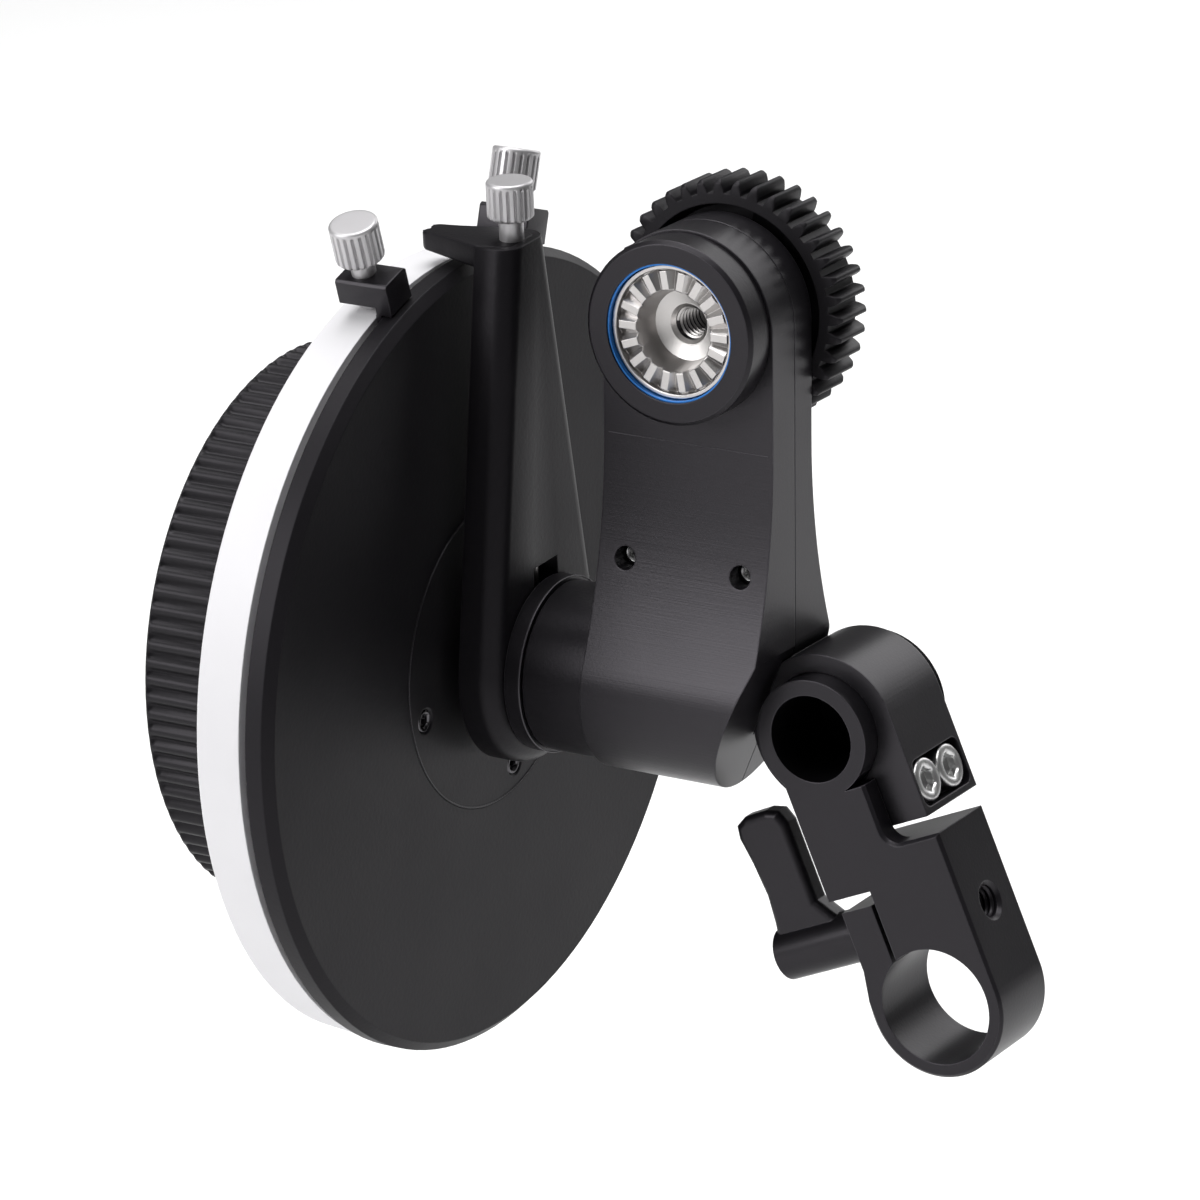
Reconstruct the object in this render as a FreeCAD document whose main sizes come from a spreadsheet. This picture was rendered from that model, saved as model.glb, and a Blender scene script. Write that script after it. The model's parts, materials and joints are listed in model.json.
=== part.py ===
"""Follow focus unit: a handwheel turns a drive gear through two bevel gear pairs in an arm that swings on a rod clamp.

Millimetres. +X runs along the handwheel's axle away from the wheel, +Y along the rod and the drive gear's axle,
+Z up. The origin is the centre of the rod bore. The link frame used for the clamp has its X and Z turned about Y
by link_tilt, so that its Z runs from the rod bore to the shoulder of the clamp.
"""
import FreeCAD, Part
import Sketcher
import math
import os
import re

doc = FreeCAD.newDocument("follow_focus")
V = FreeCAD.Vector
AXES = {"X": V(1, 0, 0), "Y": V(0, 1, 0), "Z": V(0, 0, 1)}

# ---------------------------------------------------------------- driving dimensions
SIZES = {
    # rod clamp, in the link frame
    "rod_radius": 7.5,
    "clamp_width": 12.0,
    "clamp_wall": 1.8,
    "link_tilt": 23.5,
    "link_length": 36.4,
    "spigot_shift": 3.2,
    "spigot_radius": 7.6,
    "spigot_bore": 5.6,
    "neck_thickness": 3.0,
    "neck_side": 1.6,
    "shoulder_drop": 15.5,
    "trough_radius": 2.2,
    "jaw_rise": 6.8,
    "jaw_gap": 1.8,
    "jaw_gap_back": 0.6,
    "jaw_face": 8.1,
    "slit_place": 3.0,
    "slit_width": 0.6,
    "edge_break": 0.4,
    # clamp lever
    "lever_rise": 2.6,
    "lever_screw_radius": 2.0,
    "lever_screw_depth": 5.5,
    "lever_hub_radius": 3.4,
    "lever_reach": 18.5,
    "lever_width": 7.6,
    "lever_waist": 0.9,
    "lever_thickness": 3.6,
    "lever_round": 1.0,
    "lever_stand": 6.1,
    "lever_web": 2.4,
    # gearbox arm
    "arm_reach": 17.25,
    "arm_half_width": 12.0,
    "arm_front": -5.9,
    "arm_back": 3.8,
    "arm_split": -0.4,
    "split_break": 0.15,
    "arm_belly": 11.65,
    "wheel_rise": 2.1,
    "train_height": 48.6,
    "crease_drop": 15.2,
    "slant_angle": 22.0,
    "slant_clearance": 8.5,
    "housing_wall": 1.3,
    "cover_screw_rise": 17.9,
    "cover_screw_spacing": 16.4,
    "cover_screw_radius": 1.5,
    # lug of the rear housing that grips the spigot
    "lug_wall": 2.4,
    "lug_back": 10.2,
    "lug_gap": 1.85,
    "lug_left": 6.0,
    "lug_slit": 1.2,
    "lug_fillet": 3.5,
    "lug_screw_inset": 3.9,
    "lug_screw_spacing": 5.9,
    "lug_screw_radius": 1.5,
    "lug_head_radius": 2.85,
    "lug_head_height": 2.0,
    "lug_socket": 1.4,
    "pocket_depth": 2.2,
    "plug_flange_radius": 9.0,
    "plug_flange": 2.6,
    "plug_depth": 4.0,
    # bezel and drive port
    "bezel_radius": 11.65,
    "bezel_length": 4.6,
    "port_radius": 8.4,
    "port_set_back": 0.9,
    "port_teeth": 18,
    "port_tooth_depth": 1.1,
    "port_recess_radius": 5.2,
    "port_recess_depth": 5.6,
    "port_thread_radius": 2.1,
    "blue_ring_wall": 0.25,
    "sleeve_radius": 6.0,
    "drive_shaft_radius": 4.0,
    "bush_wall": 1.4,
    # drive gear
    "gear_module": 0.8,
    "gear_teeth": 38,
    "gear_width": 7.0,
    "gear_crown": 0.5,
    "gear_dish_radius": 13.1,
    "gear_dish_depth": 2.9,
    "gear_hub_radius": 6.5,
    "gear_screw_radius": 2.0,
    # bevel train
    "bevel_module": 0.6,
    "bevel_teeth": 28,
    "pinion_teeth": 10,
    "bevel_face": 2.2,
    "bevel_backlash": 0.16,
    "lay_shaft_radius": 1.5,
    "lay_bearing_radius": 3.5,
    "lay_bearing_width": 3.0,
    # hub tube and handwheel
    "tube_radius": 10.9,
    "tube_length": 9.0,
    "tube_nose_radius": 8.0,
    "wheel_shaft_radius": 4.0,
    "wheel_bush_radius": 6.0,
    "wheel_bush_length": 5.0,
    "collar_radius": 11.35,
    "collar_width": 2.3,
    "disc_radius": 51.9,
    "disc_thickness": 3.5,
    "disc_chamfer": 1.2,
    "hub_plate_radius": 20.3,
    "hub_plate_thickness": 2.0,
    "hub_screw_inset": 3.15,
    "hub_screws": 4,
    "hub_screw_turn": 15.0,
    "groove_width": 1.2,
    "groove_depth": 2.4,
    "marking_step": 0.4,
    "marking_taper": 0.5,
    "marking_length": 7.9,
    "grip_radius": 36.5,
    "grip_wall": 7.0,
    "grip_length": 17.8,
    "grip_flutes": 100,
    "flute_radius": 0.55,
    "knob_cover_thickness": 2.4,
    "socket_side": 8.0,
    "socket_depth": 9.0,
    # index arm
    "index_clearance": 2.9,
    "index_thickness": 5.4,
    "index_lean": 3.2,
    "index_hub_radius": 13.3,
    "index_rise": 3.9,
    "index_top_half": 4.5,
    "notch_width": 5.6,
    "notch_depth": 2.5,
    "index_front_round": 2.6,
    "pointer_reach": 9.6,
    "pointer_tip_half": 1.2,
    "pointer_root": 2.8,
    "pointer_tip": 1.6,
    # knurled screws and hard stops
    "thumb_screw_radius": 1.5,
    "thumb_head_radius": 2.95,
    "thumb_head_height": 5.0,
    "thumb_neck": 2.7,
    "stop_head_radius": 3.1,
    "stop_head_height": 5.4,
    "stop_neck": 1.9,
    "stop_angle_a": 18.7,
    "stop_angle_b": 16.6,
    "stop_width": 5.0,
    "stop_length": 7.4,
    "stop_height": 3.35,
    "stop_leg": 2.2,
    "stop_floor_gap": 1.25,
    # fits
    "running_gap": 0.05,
    "air_gap": 0.2,
}

# places and radii that follow from the sizes; each is written out in full wherever a feature uses it
PLACES = {
    "spigot_x": "(-link_length*sin(link_tilt) - spigot_shift*cos(link_tilt))",
    "spigot_z": "(link_length*cos(link_tilt) - spigot_shift*sin(link_tilt))",
    "lever_height": "(rod_radius + lever_rise)",
    "jaw_top": "(rod_radius + jaw_rise)",
    "shoulder_height": "(link_length - shoulder_drop)",
    "lug_screw_height": "(shoulder_height + lug_gap + lug_screw_inset)",
    "arm_centre": "(spigot_x - arm_reach)",
    "wheel_height": "(spigot_z + wheel_rise)",
    "drive_height": "(wheel_height + train_height)",
    "crease_height": "(drive_height - crease_drop)",
    "cover_screw_height": "(wheel_height + cover_screw_rise)",
    "tube_end": "(arm_centre - arm_half_width - tube_length)",
    "index_face": "(tube_end - collar_width)",
    "wheel_back": "(index_face - index_thickness - index_clearance)",
    "marking_end": "(wheel_back - disc_thickness - marking_length)",
    "grip_end": "(marking_end - grip_length)",
    "hub_screw_circle": "(hub_plate_radius - hub_screw_inset)",
    "marking_radius": "(disc_radius - marking_step)",
    "marking_front_radius": "(marking_radius - marking_taper)",
    "index_height": "(disc_radius + index_rise)",
}

sheet = doc.addObject("Spreadsheet::Sheet", "sizes")
for row, (alias, value) in enumerate(SIZES.items(), 1):
    sheet.set("A%d" % row, alias)
    sheet.set("B%d" % row, str(value))
    sheet.setAlias("B%d" % row, alias)
doc.recompute()


def formula(text):
    """Write the sheet's name before each alias in an expression, and each named place out in full."""
    def written(found):
        word = found.group(0)
        if word in PLACES:
            return formula(PLACES[word])
        return "sizes." + word if word in SIZES else word
    return re.sub(r"[a-z_]+", written, str(text))


def number(text):
    """Value of an expression of the sheet's aliases."""
    return float(sheet.evalExpression(formula(text)))


# ---------------------------------------------------------------- places that several pieces share
NECK_FRONT = "-clamp_width/2"
NECK_BACK = "(-clamp_width/2 + neck_thickness)"
CLAMP_OUTER = "(rod_radius + clamp_wall)"
LUG_FRONT = "(-clamp_width/2 + neck_thickness + air_gap)"
LUG_RADIUS = "(spigot_radius + lug_wall)"
LUG_BOTTOM = "(shoulder_height + lug_gap)"
LUG_MIDDLE = "((-clamp_width/2 + neck_thickness + air_gap + lug_back)/2)"
ARM_MIDDLE = "((arm_front + arm_back)/2)"
ARM_LEFT = "(arm_centre - arm_half_width)"
BEZEL_FRONT = "(arm_front - bezel_length)"
PORT_FRONT = "(arm_front - bezel_length + port_set_back)"
PORT_FLANGE_BACK = "(arm_front - bezel_length + port_set_back + 1.4)"
PORT_FLOOR = "(arm_front - bezel_length + port_set_back + port_recess_depth)"
BEVEL_RADIUS = "(bevel_module*bevel_teeth/2)"
PINION_RADIUS = "(bevel_module*pinion_teeth/2)"
GEAR_FRONT = "(arm_back + 0.3)"
DISC_FRONT = "(wheel_back - disc_thickness)"
INDEX_LEFT = "(index_face - index_thickness)"
STOP_RIGHT = "(wheel_back - disc_thickness + 1.4)"
STOP_FLOOR = "(disc_radius + air_gap)"
STOP_TOP = "(disc_radius + stop_floor_gap + stop_height)"


# ---------------------------------------------------------------- helpers for the features
def place(feature, at=("0", "0", "0"), axis=None, angle="0"):
    """Bind a feature's position, and its turn about one axis, to the sheet."""
    if axis:
        feature.Placement = FreeCAD.Placement(V(), FreeCAD.Rotation(AXES[axis], 90))
        feature.setExpression("Placement.Rotation.Angle", formula("(%s) * 1 deg" % angle))
    for letter, text in zip("xyz", at):
        feature.setExpression("Placement.Base." + letter, formula(text))
    return feature


def box(name, sides, at):
    """Block with its low corner at a point."""
    block = doc.addObject("Part::Box", name)
    for side, text in zip(("Length", "Width", "Height"), sides):
        block.setExpression(side, formula(text))
    return place(block, at)


def rod(name, radius, length, at, along):
    """Cylinder that starts at a point and runs along one axis."""
    cylinder = doc.addObject("Part::Cylinder", name)
    cylinder.setExpression("Radius", formula(radius))
    cylinder.setExpression("Height", formula(length))
    turns = {"X": ("Y", "90"), "Y": ("X", "-90"), "Z": (None, "0")}
    return place(cylinder, at, *turns[along])


def fuse(name, *shapes):
    """Union of several features."""
    union = doc.addObject("Part::MultiFuse", name)
    union.Shapes = list(shapes)
    return union


def moved(name, base):
    """A feature again, with a placement of its own on top."""
    copy = doc.addObject("Part::Refine", name)
    copy.Source = base
    return copy


def cut(name, base, *tools):
    """A feature less one or more others."""
    result = doc.addObject("Part::Cut", name)
    result.Base = base
    result.Tool = tools[0] if len(tools) == 1 else fuse(name + "_tools", *tools)
    return result


def common(name, base, tool):
    """What two features share."""
    result = doc.addObject("Part::Common", name)
    result.Base = base
    result.Tool = tool
    return result


def softened(kind, name, base, size, chosen):
    """Fillet or chamfer of the edges for which chosen() is true."""
    doc.recompute()
    value = number(size)
    feature = doc.addObject("Part::" + kind, name)
    feature.Base = base
    feature.Edges = [(place_in_list, value, value) for place_in_list, edge in enumerate(base.Shape.Edges, 1)
                     if chosen(edge)]
    return feature


def lies_at(edge, axis, value):
    """True for an edge whose ends and middle all have one coordinate."""
    along = AXES[axis]
    points = [edge.valueAt(edge.FirstParameter), edge.valueAt((edge.FirstParameter + edge.LastParameter)/2),
              edge.valueAt(edge.LastParameter)]
    return all(abs(point.dot(along) - value) < 1e-4 for point in points)


def origin_feature(body, role):
    """Origin plane or axis of a body."""
    return [feature for feature in body.Origin.OriginFeatures if feature.Role == role][0]


def sketch_on(body, role):
    """Empty sketch on one of the body's own planes."""
    sketch = body.newObject("Sketcher::SketchObject", body.Name + "_sketch")
    sketch.AttachmentSupport = [(origin_feature(body, role), "")]
    sketch.MapMode = "FlatFace"
    return sketch


def pin_point(sketch, element, point, place_of):
    """Hold one point of a sketch at two expressions from its origin."""
    for kind, text in zip(("DistanceX", "DistanceY"), place_of):
        index = sketch.addConstraint(Sketcher.Constraint(kind, -1, 1, element, point, number(text)))
        sketch.setExpression("Constraints[%d]" % index, formula(text))


def outline(body, role, points):
    """Closed sketch of straight lines through points that are bound to the sheet."""
    sketch = sketch_on(body, role)
    corners = [V(number(across), number(up), 0) for across, up in points]
    count = len(corners)
    for index in range(count):
        sketch.addGeometry(Part.LineSegment(corners[index], corners[(index + 1) % count]), False)
    for index in range(count):
        sketch.addConstraint(Sketcher.Constraint("Coincident", index, 2, (index + 1) % count, 1))
    for index, point in enumerate(points):
        pin_point(sketch, index, 1, point)
    return sketch


def circle_sketch(body, role, centre, radius):
    """Sketch of one circle bound to the sheet."""
    sketch = sketch_on(body, role)
    sketch.addGeometry(Part.Circle(V(number(centre[0]), number(centre[1]), 0), V(0, 0, 1), number(radius)), False)
    pin_point(sketch, 0, 3, centre)
    index = sketch.addConstraint(Sketcher.Constraint("Radius", 0, number(radius)))
    sketch.setExpression("Constraints[%d]" % index, formula(radius))
    return sketch


TURN_OF_AXIS = {"X": (None, "0"), "Y": ("Z", "90"), "Z": ("Y", "-90")}


def turned(name, profile, along="X", at=("0", "0", "0")):
    """Lathe-turned body: (station, radius) points turned about one axis through a point."""
    body = doc.addObject("PartDesign::Body", name)
    sketch = outline(body, "XY_Plane", profile)
    revolution = body.newObject("PartDesign::Revolution", name + "_turned")
    revolution.Profile = sketch
    revolution.ReferenceAxis = (origin_feature(body, "X_Axis"), [""])
    revolution.Angle = 360
    return place(body, at, *TURN_OF_AXIS[along])


def sleeve(name, outer, inner, start, length, along="X", at=("0", "0", "0")):
    """Plain ring or bush."""
    end = "%s + %s" % (start, length)
    return turned(name, [(start, inner), (end, inner), (end, outer), (start, outer)], along, at)


def flute(body, circle, groove, start, length, count):
    """Straight grooves round a turned body's axis."""
    sketch = circle_sketch(body, "YZ_Plane", (circle, "0"), groove)
    sketch.setExpression("AttachmentOffset.Base.z", formula(start))
    pocket = body.newObject("PartDesign::Pocket", body.Name + "_flute")
    pocket.Profile = sketch
    pocket.Reversed = True
    pocket.setExpression("Length", formula(length))
    pattern = body.newObject("PartDesign::PolarPattern", body.Name + "_flutes")
    pattern.Originals = [pocket]
    pattern.Axis = (origin_feature(body, "X_Axis"), [""])
    pattern.Angle = 360
    pattern.Occurrences = count
    body.Tip = pattern


def plate(name, role, points, thickness, at):
    """Flat body: an outline padded along its plane's normal, which is -Y for XZ_Plane."""
    body = doc.addObject("PartDesign::Body", name)
    sketch = outline(body, role, points)
    pad = body.newObject("PartDesign::Pad", name + "_pad")
    pad.Profile = sketch
    pad.setExpression("Length", formula(thickness))
    return place(body, at)


def solid(name, shape, position=None):
    """Feature with a shape that is worked out below from the sheet's sizes."""
    feature = doc.addObject("Part::Feature", name)
    feature.Shape = shape
    if position:
        feature.Placement = position
    return feature


PARTS = []


def keep(feature, label, tilted=False):
    """List a finished sub-part under its own name."""
    if tilted:
        place(feature, axis="Y", angle="-link_tilt")
    feature.Label = label
    PARTS.append(feature)
    return feature


# ---------------------------------------------------------------- gear teeth
def involute_half_angle(radius, pitch_radius, half_tooth, pressure=math.radians(20)):
    """Half the angle that a tooth fills at a radius, for the half angle at its pitch circle."""
    def involute(angle):
        return math.tan(angle) - angle
    base = pitch_radius*math.cos(pressure)
    here = math.acos(min(1.0, base/max(radius, base)))
    return half_tooth + involute(pressure) - involute(here)


def spur_gear_shape(module, teeth, width, root_depth=1.25, thinning=0.06):
    """Spur gear along +Z with involute flanks and tips that taper to a narrow land."""
    pitch = module*teeth/2
    half_tooth = math.pi/2/teeth - thinning/pitch
    radii = [pitch - root_depth*module, pitch - 0.5*module, pitch, pitch + 0.6*module]
    tip, land = pitch + 0.95*module, 0.35
    corners = []
    for tooth in range(teeth):
        middle = 2*math.pi*tooth/teeth
        rise = [(radius, middle - involute_half_angle(radius, pitch, half_tooth)) for radius in radii]
        rise.append((tip, middle - land*half_tooth))
        fall = [(radius, middle + involute_half_angle(radius, pitch, half_tooth)) for radius in reversed(radii)]
        fall.insert(0, (tip, middle + land*half_tooth))
        corners += [V(radius*math.cos(angle), radius*math.sin(angle), 0) for radius, angle in rise + fall]
    wire = Part.makePolygon(corners + corners[:1])
    return Part.Face(wire).extrude(V(0, 0, width))


def bevel_gear_shape(module, teeth, mate_teeth, face, thinning, hub_radius, hub_length, bore):
    """Straight bevel gear on +Z with its apex at the origin; the teeth run towards the apex."""
    pitch_angle = math.atan2(teeth, mate_teeth)
    cone = module*teeth/2/math.sin(pitch_angle)
    inner = cone - face
    virtual = module*teeth/2/math.cos(pitch_angle)
    virtual_teeth = teeth/math.cos(pitch_angle)
    half_tooth = math.pi/2/virtual_teeth - thinning/2/virtual
    heights = [-1.15*module, -0.45*module, 0.3*module, 0.85*module]
    levels = []
    for height in heights:
        polar = pitch_angle + math.atan(height/cone)
        half = involute_half_angle(virtual + height, virtual, half_tooth)*virtual/(virtual + height)
        across = half*(virtual + height)/cone
        levels.append((polar, across/math.sin(polar)*(cone/math.hypot(cone, height))))

    def point(distance, polar, azimuth):
        return V(distance*math.sin(polar)*math.cos(azimuth), distance*math.sin(polar)*math.sin(azimuth),
                 distance*math.cos(polar))

    def face_of(*points):
        return Part.Face(Part.makePolygon(list(points) + [points[0]]))

    def slab(low, high):
        """Piece of one tooth between two heights."""
        ring = []
        for distance in (inner, cone):
            ring.append([point(distance, low[0], -low[1]), point(distance, low[0], low[1]),
                         point(distance, high[0], high[1]), point(distance, high[0], -high[1])])
        near, far = ring
        faces = [face_of(*near), face_of(*reversed(far))]
        for index in range(4):
            after = (index + 1) % 4
            faces.append(face_of(near[index], far[index], far[after], near[after]))
        return Part.makeSolid(Part.makeShell(faces))

    tooth = slab(levels[0], levels[1]).multiFuse([slab(levels[1], levels[2]), slab(levels[2], levels[3])])
    root = pitch_angle - math.atan(1.0*module/cone)
    back = cone*math.cos(root) + module*math.sin(pitch_angle)
    profile = [V(0, 0, inner*math.cos(root)), V(inner*math.sin(root), 0, inner*math.cos(root)),
               V(cone*math.sin(root), 0, cone*math.cos(root)), V(cone*math.sin(root), 0, back),
               V(hub_radius, 0, back), V(hub_radius, 0, back + hub_length), V(0, 0, back + hub_length)]
    blank = Part.Face(Part.makePolygon(profile + profile[:1])).revolve(V(), V(0, 0, 1), 360)
    copies = []
    for index in range(teeth):
        copy = tooth.copy()
        copy.rotate(V(), V(0, 0, 1), 360*index/teeth)
        copies.append(copy)
    gear = blank.multiFuse(copies)
    hole = Part.makeCylinder(bore, 4*cone, V(0, 0, -cone))
    return gear.cut(hole).removeSplitter()


# ---------------------------------------------------------------- rod clamp
def rod_clamp():
    """Clamp block with its eye for the rod, split jaw, thin neck and hollow spigot."""
    block = box("clamp_block", ("2*" + CLAMP_OUTER, "clamp_width", "shoulder_height"),
                ("-" + CLAMP_OUTER, NECK_FRONT, "0"))
    eye = rod("clamp_eye", CLAMP_OUTER, "clamp_width", ("0", NECK_FRONT, "0"), "Y")
    neck = box("clamp_neck", (CLAMP_OUTER + " + neck_side", "neck_thickness", "link_length"),
               ("-" + CLAMP_OUTER, NECK_FRONT, "0"))
    trough_block = box("trough_block", ("trough_radius + 1", "neck_thickness", "trough_radius + 1"),
                       ("neck_side - 1", NECK_FRONT, "shoulder_height - 1"))
    trough_round = rod("trough_round", "trough_radius", "clamp_width",
                       ("neck_side + trough_radius", NECK_FRONT, "shoulder_height + trough_radius"), "Y")
    trough = cut("trough_fillet", trough_block, trough_round)
    centre = ("-spigot_shift", NECK_FRONT, "link_length")
    spigot = rod("spigot_outside", "spigot_radius", "lug_back + clamp_width/2", centre, "Y")
    whole = fuse("clamp_whole", block, eye, neck, trough, spigot)

    reach = "clamp_width"
    rod_hole = rod("rod_hole", "rod_radius", "2*" + reach, ("0", "-" + reach, "0"), "Y")
    spigot_hole = rod("spigot_hole", "spigot_bore", "4*" + reach, ("-spigot_shift", "-" + reach, "link_length"), "Y")
    slit = box("jaw_slit", ("slit_width", "2*" + reach, "jaw_top - 0.7*rod_radius + 0.1"),
               ("-slit_place - slit_width", "-" + reach, "0.7*rod_radius"))
    notch = plate("jaw_notch", "YZ_Plane",
                  [(NECK_FRONT + " - 0.1", "jaw_top"), ("clamp_width/2 + 0.1", "jaw_top"),
                   ("clamp_width/2 + 0.1", "jaw_top + jaw_gap_back"), (NECK_FRONT + " - 0.1", "jaw_top + jaw_gap")],
                  "rod_radius + clamp_wall", ("-slit_place - rod_radius - clamp_wall", "0", "0"))
    relief = plate("jaw_relief", "XZ_Plane",
                   [("-jaw_face - 5", "jaw_top + jaw_gap"), ("-jaw_face", "jaw_top + jaw_gap"),
                    ("-jaw_face", "0.87*rod_radius"), ("-" + CLAMP_OUTER, "0.1*rod_radius"),
                    ("-jaw_face - 5", "0.1*rod_radius")], "2*" + reach, ("0", reach, "0"))
    thread = rod("lever_thread", "lever_screw_radius + running_gap", "4*" + CLAMP_OUTER,
                 ("-2*" + CLAMP_OUTER, "0", "lever_height"), "X")
    countersink = doc.addObject("Part::Cone", "thread_countersink")
    countersink.setExpression("Radius1", formula("lever_screw_radius + running_gap"))
    countersink.setExpression("Radius2", formula("lever_screw_radius + 0.5"))
    countersink.setExpression("Height", formula("0.45"))
    place(countersink, (CLAMP_OUTER + " - 0.45", "0", "lever_height"), "Y", "90")
    nick = plate("neck_nick", "XZ_Plane",
                 [("neck_side + 1", "link_length - 0.72*spigot_radius"), ("neck_side + 1", "shoulder_height + 8.2"),
                  ("neck_side - 3.0", "shoulder_height + 8.1")], "2*neck_thickness", ("0", NECK_BACK, "0"))
    nick_shape = cut("neck_nick_open", nick, rod("nick_keep", "spigot_radius", "2*clamp_width",
                                                 ("-spigot_shift", "-clamp_width", "link_length"), "Y"))
    open_clamp = cut("clamp_open", whole, rod_hole, spigot_hole, slit, notch, relief, thread, countersink,
                     nick_shape)
    half = number("clamp_width")/2

    def outer_edge(edge):
        """Outline of the block's two faces, apart from its holes and slits."""
        box_of_edge = edge.BoundBox
        at_face = lies_at(edge, "Y", -half) or lies_at(edge, "Y", half)
        side = number(CLAMP_OUTER)
        on_right = abs(box_of_edge.XMax - side) < 1e-3
        straight_side = on_right and box_of_edge.ZLength > 2
        return at_face and (straight_side or lies_at(edge, "Z", number("shoulder_height")))
    softened("Chamfer", "clamp_softened", open_clamp, "edge_break", outer_edge)
    return keep(doc.getObject("clamp_softened"), "rod_clamp", tilted=True)


def spigot_plug():
    """Flanged plug that closes the spigot and keeps the arm on it."""
    back = "(lug_back + air_gap)"
    hexagon = "1.5"
    plug = turned("spigot_plug_body",
                  [(back + " - plug_depth", "0"), (back + " - plug_depth", "spigot_bore - 0.03"),
                   (back, "spigot_bore - 0.03"),
                   (back, "plug_flange_radius"), (back + " + plug_flange - 0.6", "plug_flange_radius"),
                   (back + " + plug_flange", "plug_flange_radius - 0.6"), (back + " + plug_flange", hexagon),
                   (back + " + 0.4", hexagon), (back + " + 0.4", "0")],
                  "Y", ("-spigot_shift", "0", "link_length"))
    # The spigot itself ends at the lug's back face, so the flange bears on it across the air gap.
    return keep(moved("spigot_plug_all", plug), "spigot_plug", tilted=True)


def clamp_lever():
    """Flat winged handle of the clamp screw."""
    inner = "(jaw_face + 0.1)"
    right = "-(jaw_face + lever_stand)"
    left = "(-jaw_face - lever_stand - lever_width)"
    top = "(lever_height + lever_reach)"
    hub = rod("lever_hub", "lever_hub_radius", left + "*-1 - " + inner, (left, "0", "lever_height"), "X")
    wing = plate("lever_wing", "XZ_Plane",
                 [(left + " + 0.5", "lever_height - 0.5*lever_hub_radius"), (right, "lever_height"),
                  (right + " + lever_web", "lever_height + 0.8*lever_hub_radius"),
                  (right, "lever_height + lever_hub_radius + lever_web"), (right, top + " - 2.2"),
                  (right + " - 0.7", top + " - 0.5"), (right + " - 2.4", top), (left + " + 1.8", top + " - 0.1"),
                  (left + " + 0.3", top + " - 0.9"), (left, top + " - 2.6"),
                  (left + " + 0.6*lever_waist", top + " - 6"), (left + " + lever_waist", "lever_height + 8"),
                  (left + " + 0.6*lever_waist", "lever_height + 4.5"), (left, "lever_height + 1.5")],
                 "lever_thickness", ("0", "lever_thickness/2", "0"))
    face = number("lever_thickness")/2
    rounded = softened("Fillet", "lever_rounded", wing, "lever_round",
                       lambda edge: lies_at(edge, "Y", face) or lies_at(edge, "Y", -face))
    bore = rod("lever_bore", "lever_screw_radius", "4*lever_width", (left + " + 2", "0", "lever_height"), "X")
    keep(cut("lever_bored", fuse("lever_joined", hub, rounded), bore), "clamp_lever", tilted=True)
    tip = "(" + CLAMP_OUTER + " - lever_screw_depth)"
    screw = turned("lever_screw_body",
                   [(left + " + 2", "0"), (left + " + 2", "lever_screw_radius"), (tip + " - 0.5", "lever_screw_radius"),
                    (tip, "lever_screw_radius - 0.5"), (tip, "0")], "X", ("0", "0", "lever_height"))
    return keep(moved("lever_screw_all", screw), "lever_screw", tilted=True)


# ---------------------------------------------------------------- gearbox housing
def arm_profile():
    """Bell-shaped block: flat faces above the crease, curving out to a round belly about the wheel's axle."""
    body = doc.addObject("PartDesign::Body", "arm_block")
    sketch = sketch_on(body, "YZ_Plane")
    half = number("(arm_back - arm_front)/2")
    rise = number("crease_height - wheel_height")
    belly = number("arm_belly")
    sweep = (half*half + rise*rise - belly*belly)/(2*(belly - half))
    share = belly/(belly + sweep)
    middle, low, crease, top = (number(text) for text in (ARM_MIDDLE, "wheel_height", "crease_height",
                                                          "drive_height"))
    touch, bend, arcs = {}, {}, {}
    for side in (-1, 1):
        centre = V(middle + side*(half + sweep), crease, 0)
        touch[side] = V(middle + side*(half + sweep)*share, low + rise*share, 0)
        bend[side] = V(middle + side*half, crease, 0)
        outward = (touch[side] + bend[side])/2 - centre
        arcs[side] = Part.Arc(touch[side], centre + outward.normalize()*sweep, bend[side])
    upper = {side: V(middle + side*half, top, 0) for side in (-1, 1)}
    sketch.addGeometry(Part.Arc(touch[-1], V(middle, low - belly, 0), touch[1]), False)
    sketch.addGeometry(arcs[1], False)
    sketch.addGeometry(Part.LineSegment(bend[1], upper[1]), False)
    sketch.addGeometry(Part.LineSegment(upper[1], upper[-1]), False)
    sketch.addGeometry(Part.LineSegment(upper[-1], bend[-1]), False)
    sketch.addGeometry(arcs[-1], False)

    def end_near(element, target):
        """Which end of an element, 1 or 2, is at a point."""
        return min((1, 2), key=lambda end: (sketch.getPoint(element, end) - target).Length)
    for element, side in ((1, 1), (5, -1)):
        sketch.addConstraint(Sketcher.Constraint("Tangent", 0, end_near(0, touch[side]), element,
                                                 end_near(element, touch[side])))
    for first, second, target in ((1, 2, bend[1]), (2, 3, upper[1]), (3, 4, upper[-1]), (4, 5, bend[-1])):
        sketch.addConstraint(Sketcher.Constraint("Coincident", first, end_near(first, target), second,
                                                 end_near(second, target)))
    pin_point(sketch, 0, 3, (ARM_MIDDLE, "wheel_height"))
    index = sketch.addConstraint(Sketcher.Constraint("Radius", 0, belly))
    sketch.setExpression("Constraints[%d]" % index, formula("arm_belly"))
    for element in (1, 5):
        index = sketch.addConstraint(Sketcher.Constraint("DistanceY", -1, 1, element, 3, crease))
        sketch.setExpression("Constraints[%d]" % index, formula("crease_height"))
    for element, face in ((2, "arm_back"), (4, "arm_front")):
        crease_end = end_near(element, bend[1 if element == 2 else -1])
        pin_point(sketch, element, crease_end, (face, "crease_height"))
        pin_point(sketch, element, 3 - crease_end, (face, "drive_height"))
    pad = body.newObject("PartDesign::Pad", "arm_block_pad")
    pad.Profile = sketch
    pad.setExpression("Length", formula("2*arm_half_width"))
    return place(body, (ARM_LEFT, "0", "0"))


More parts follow.
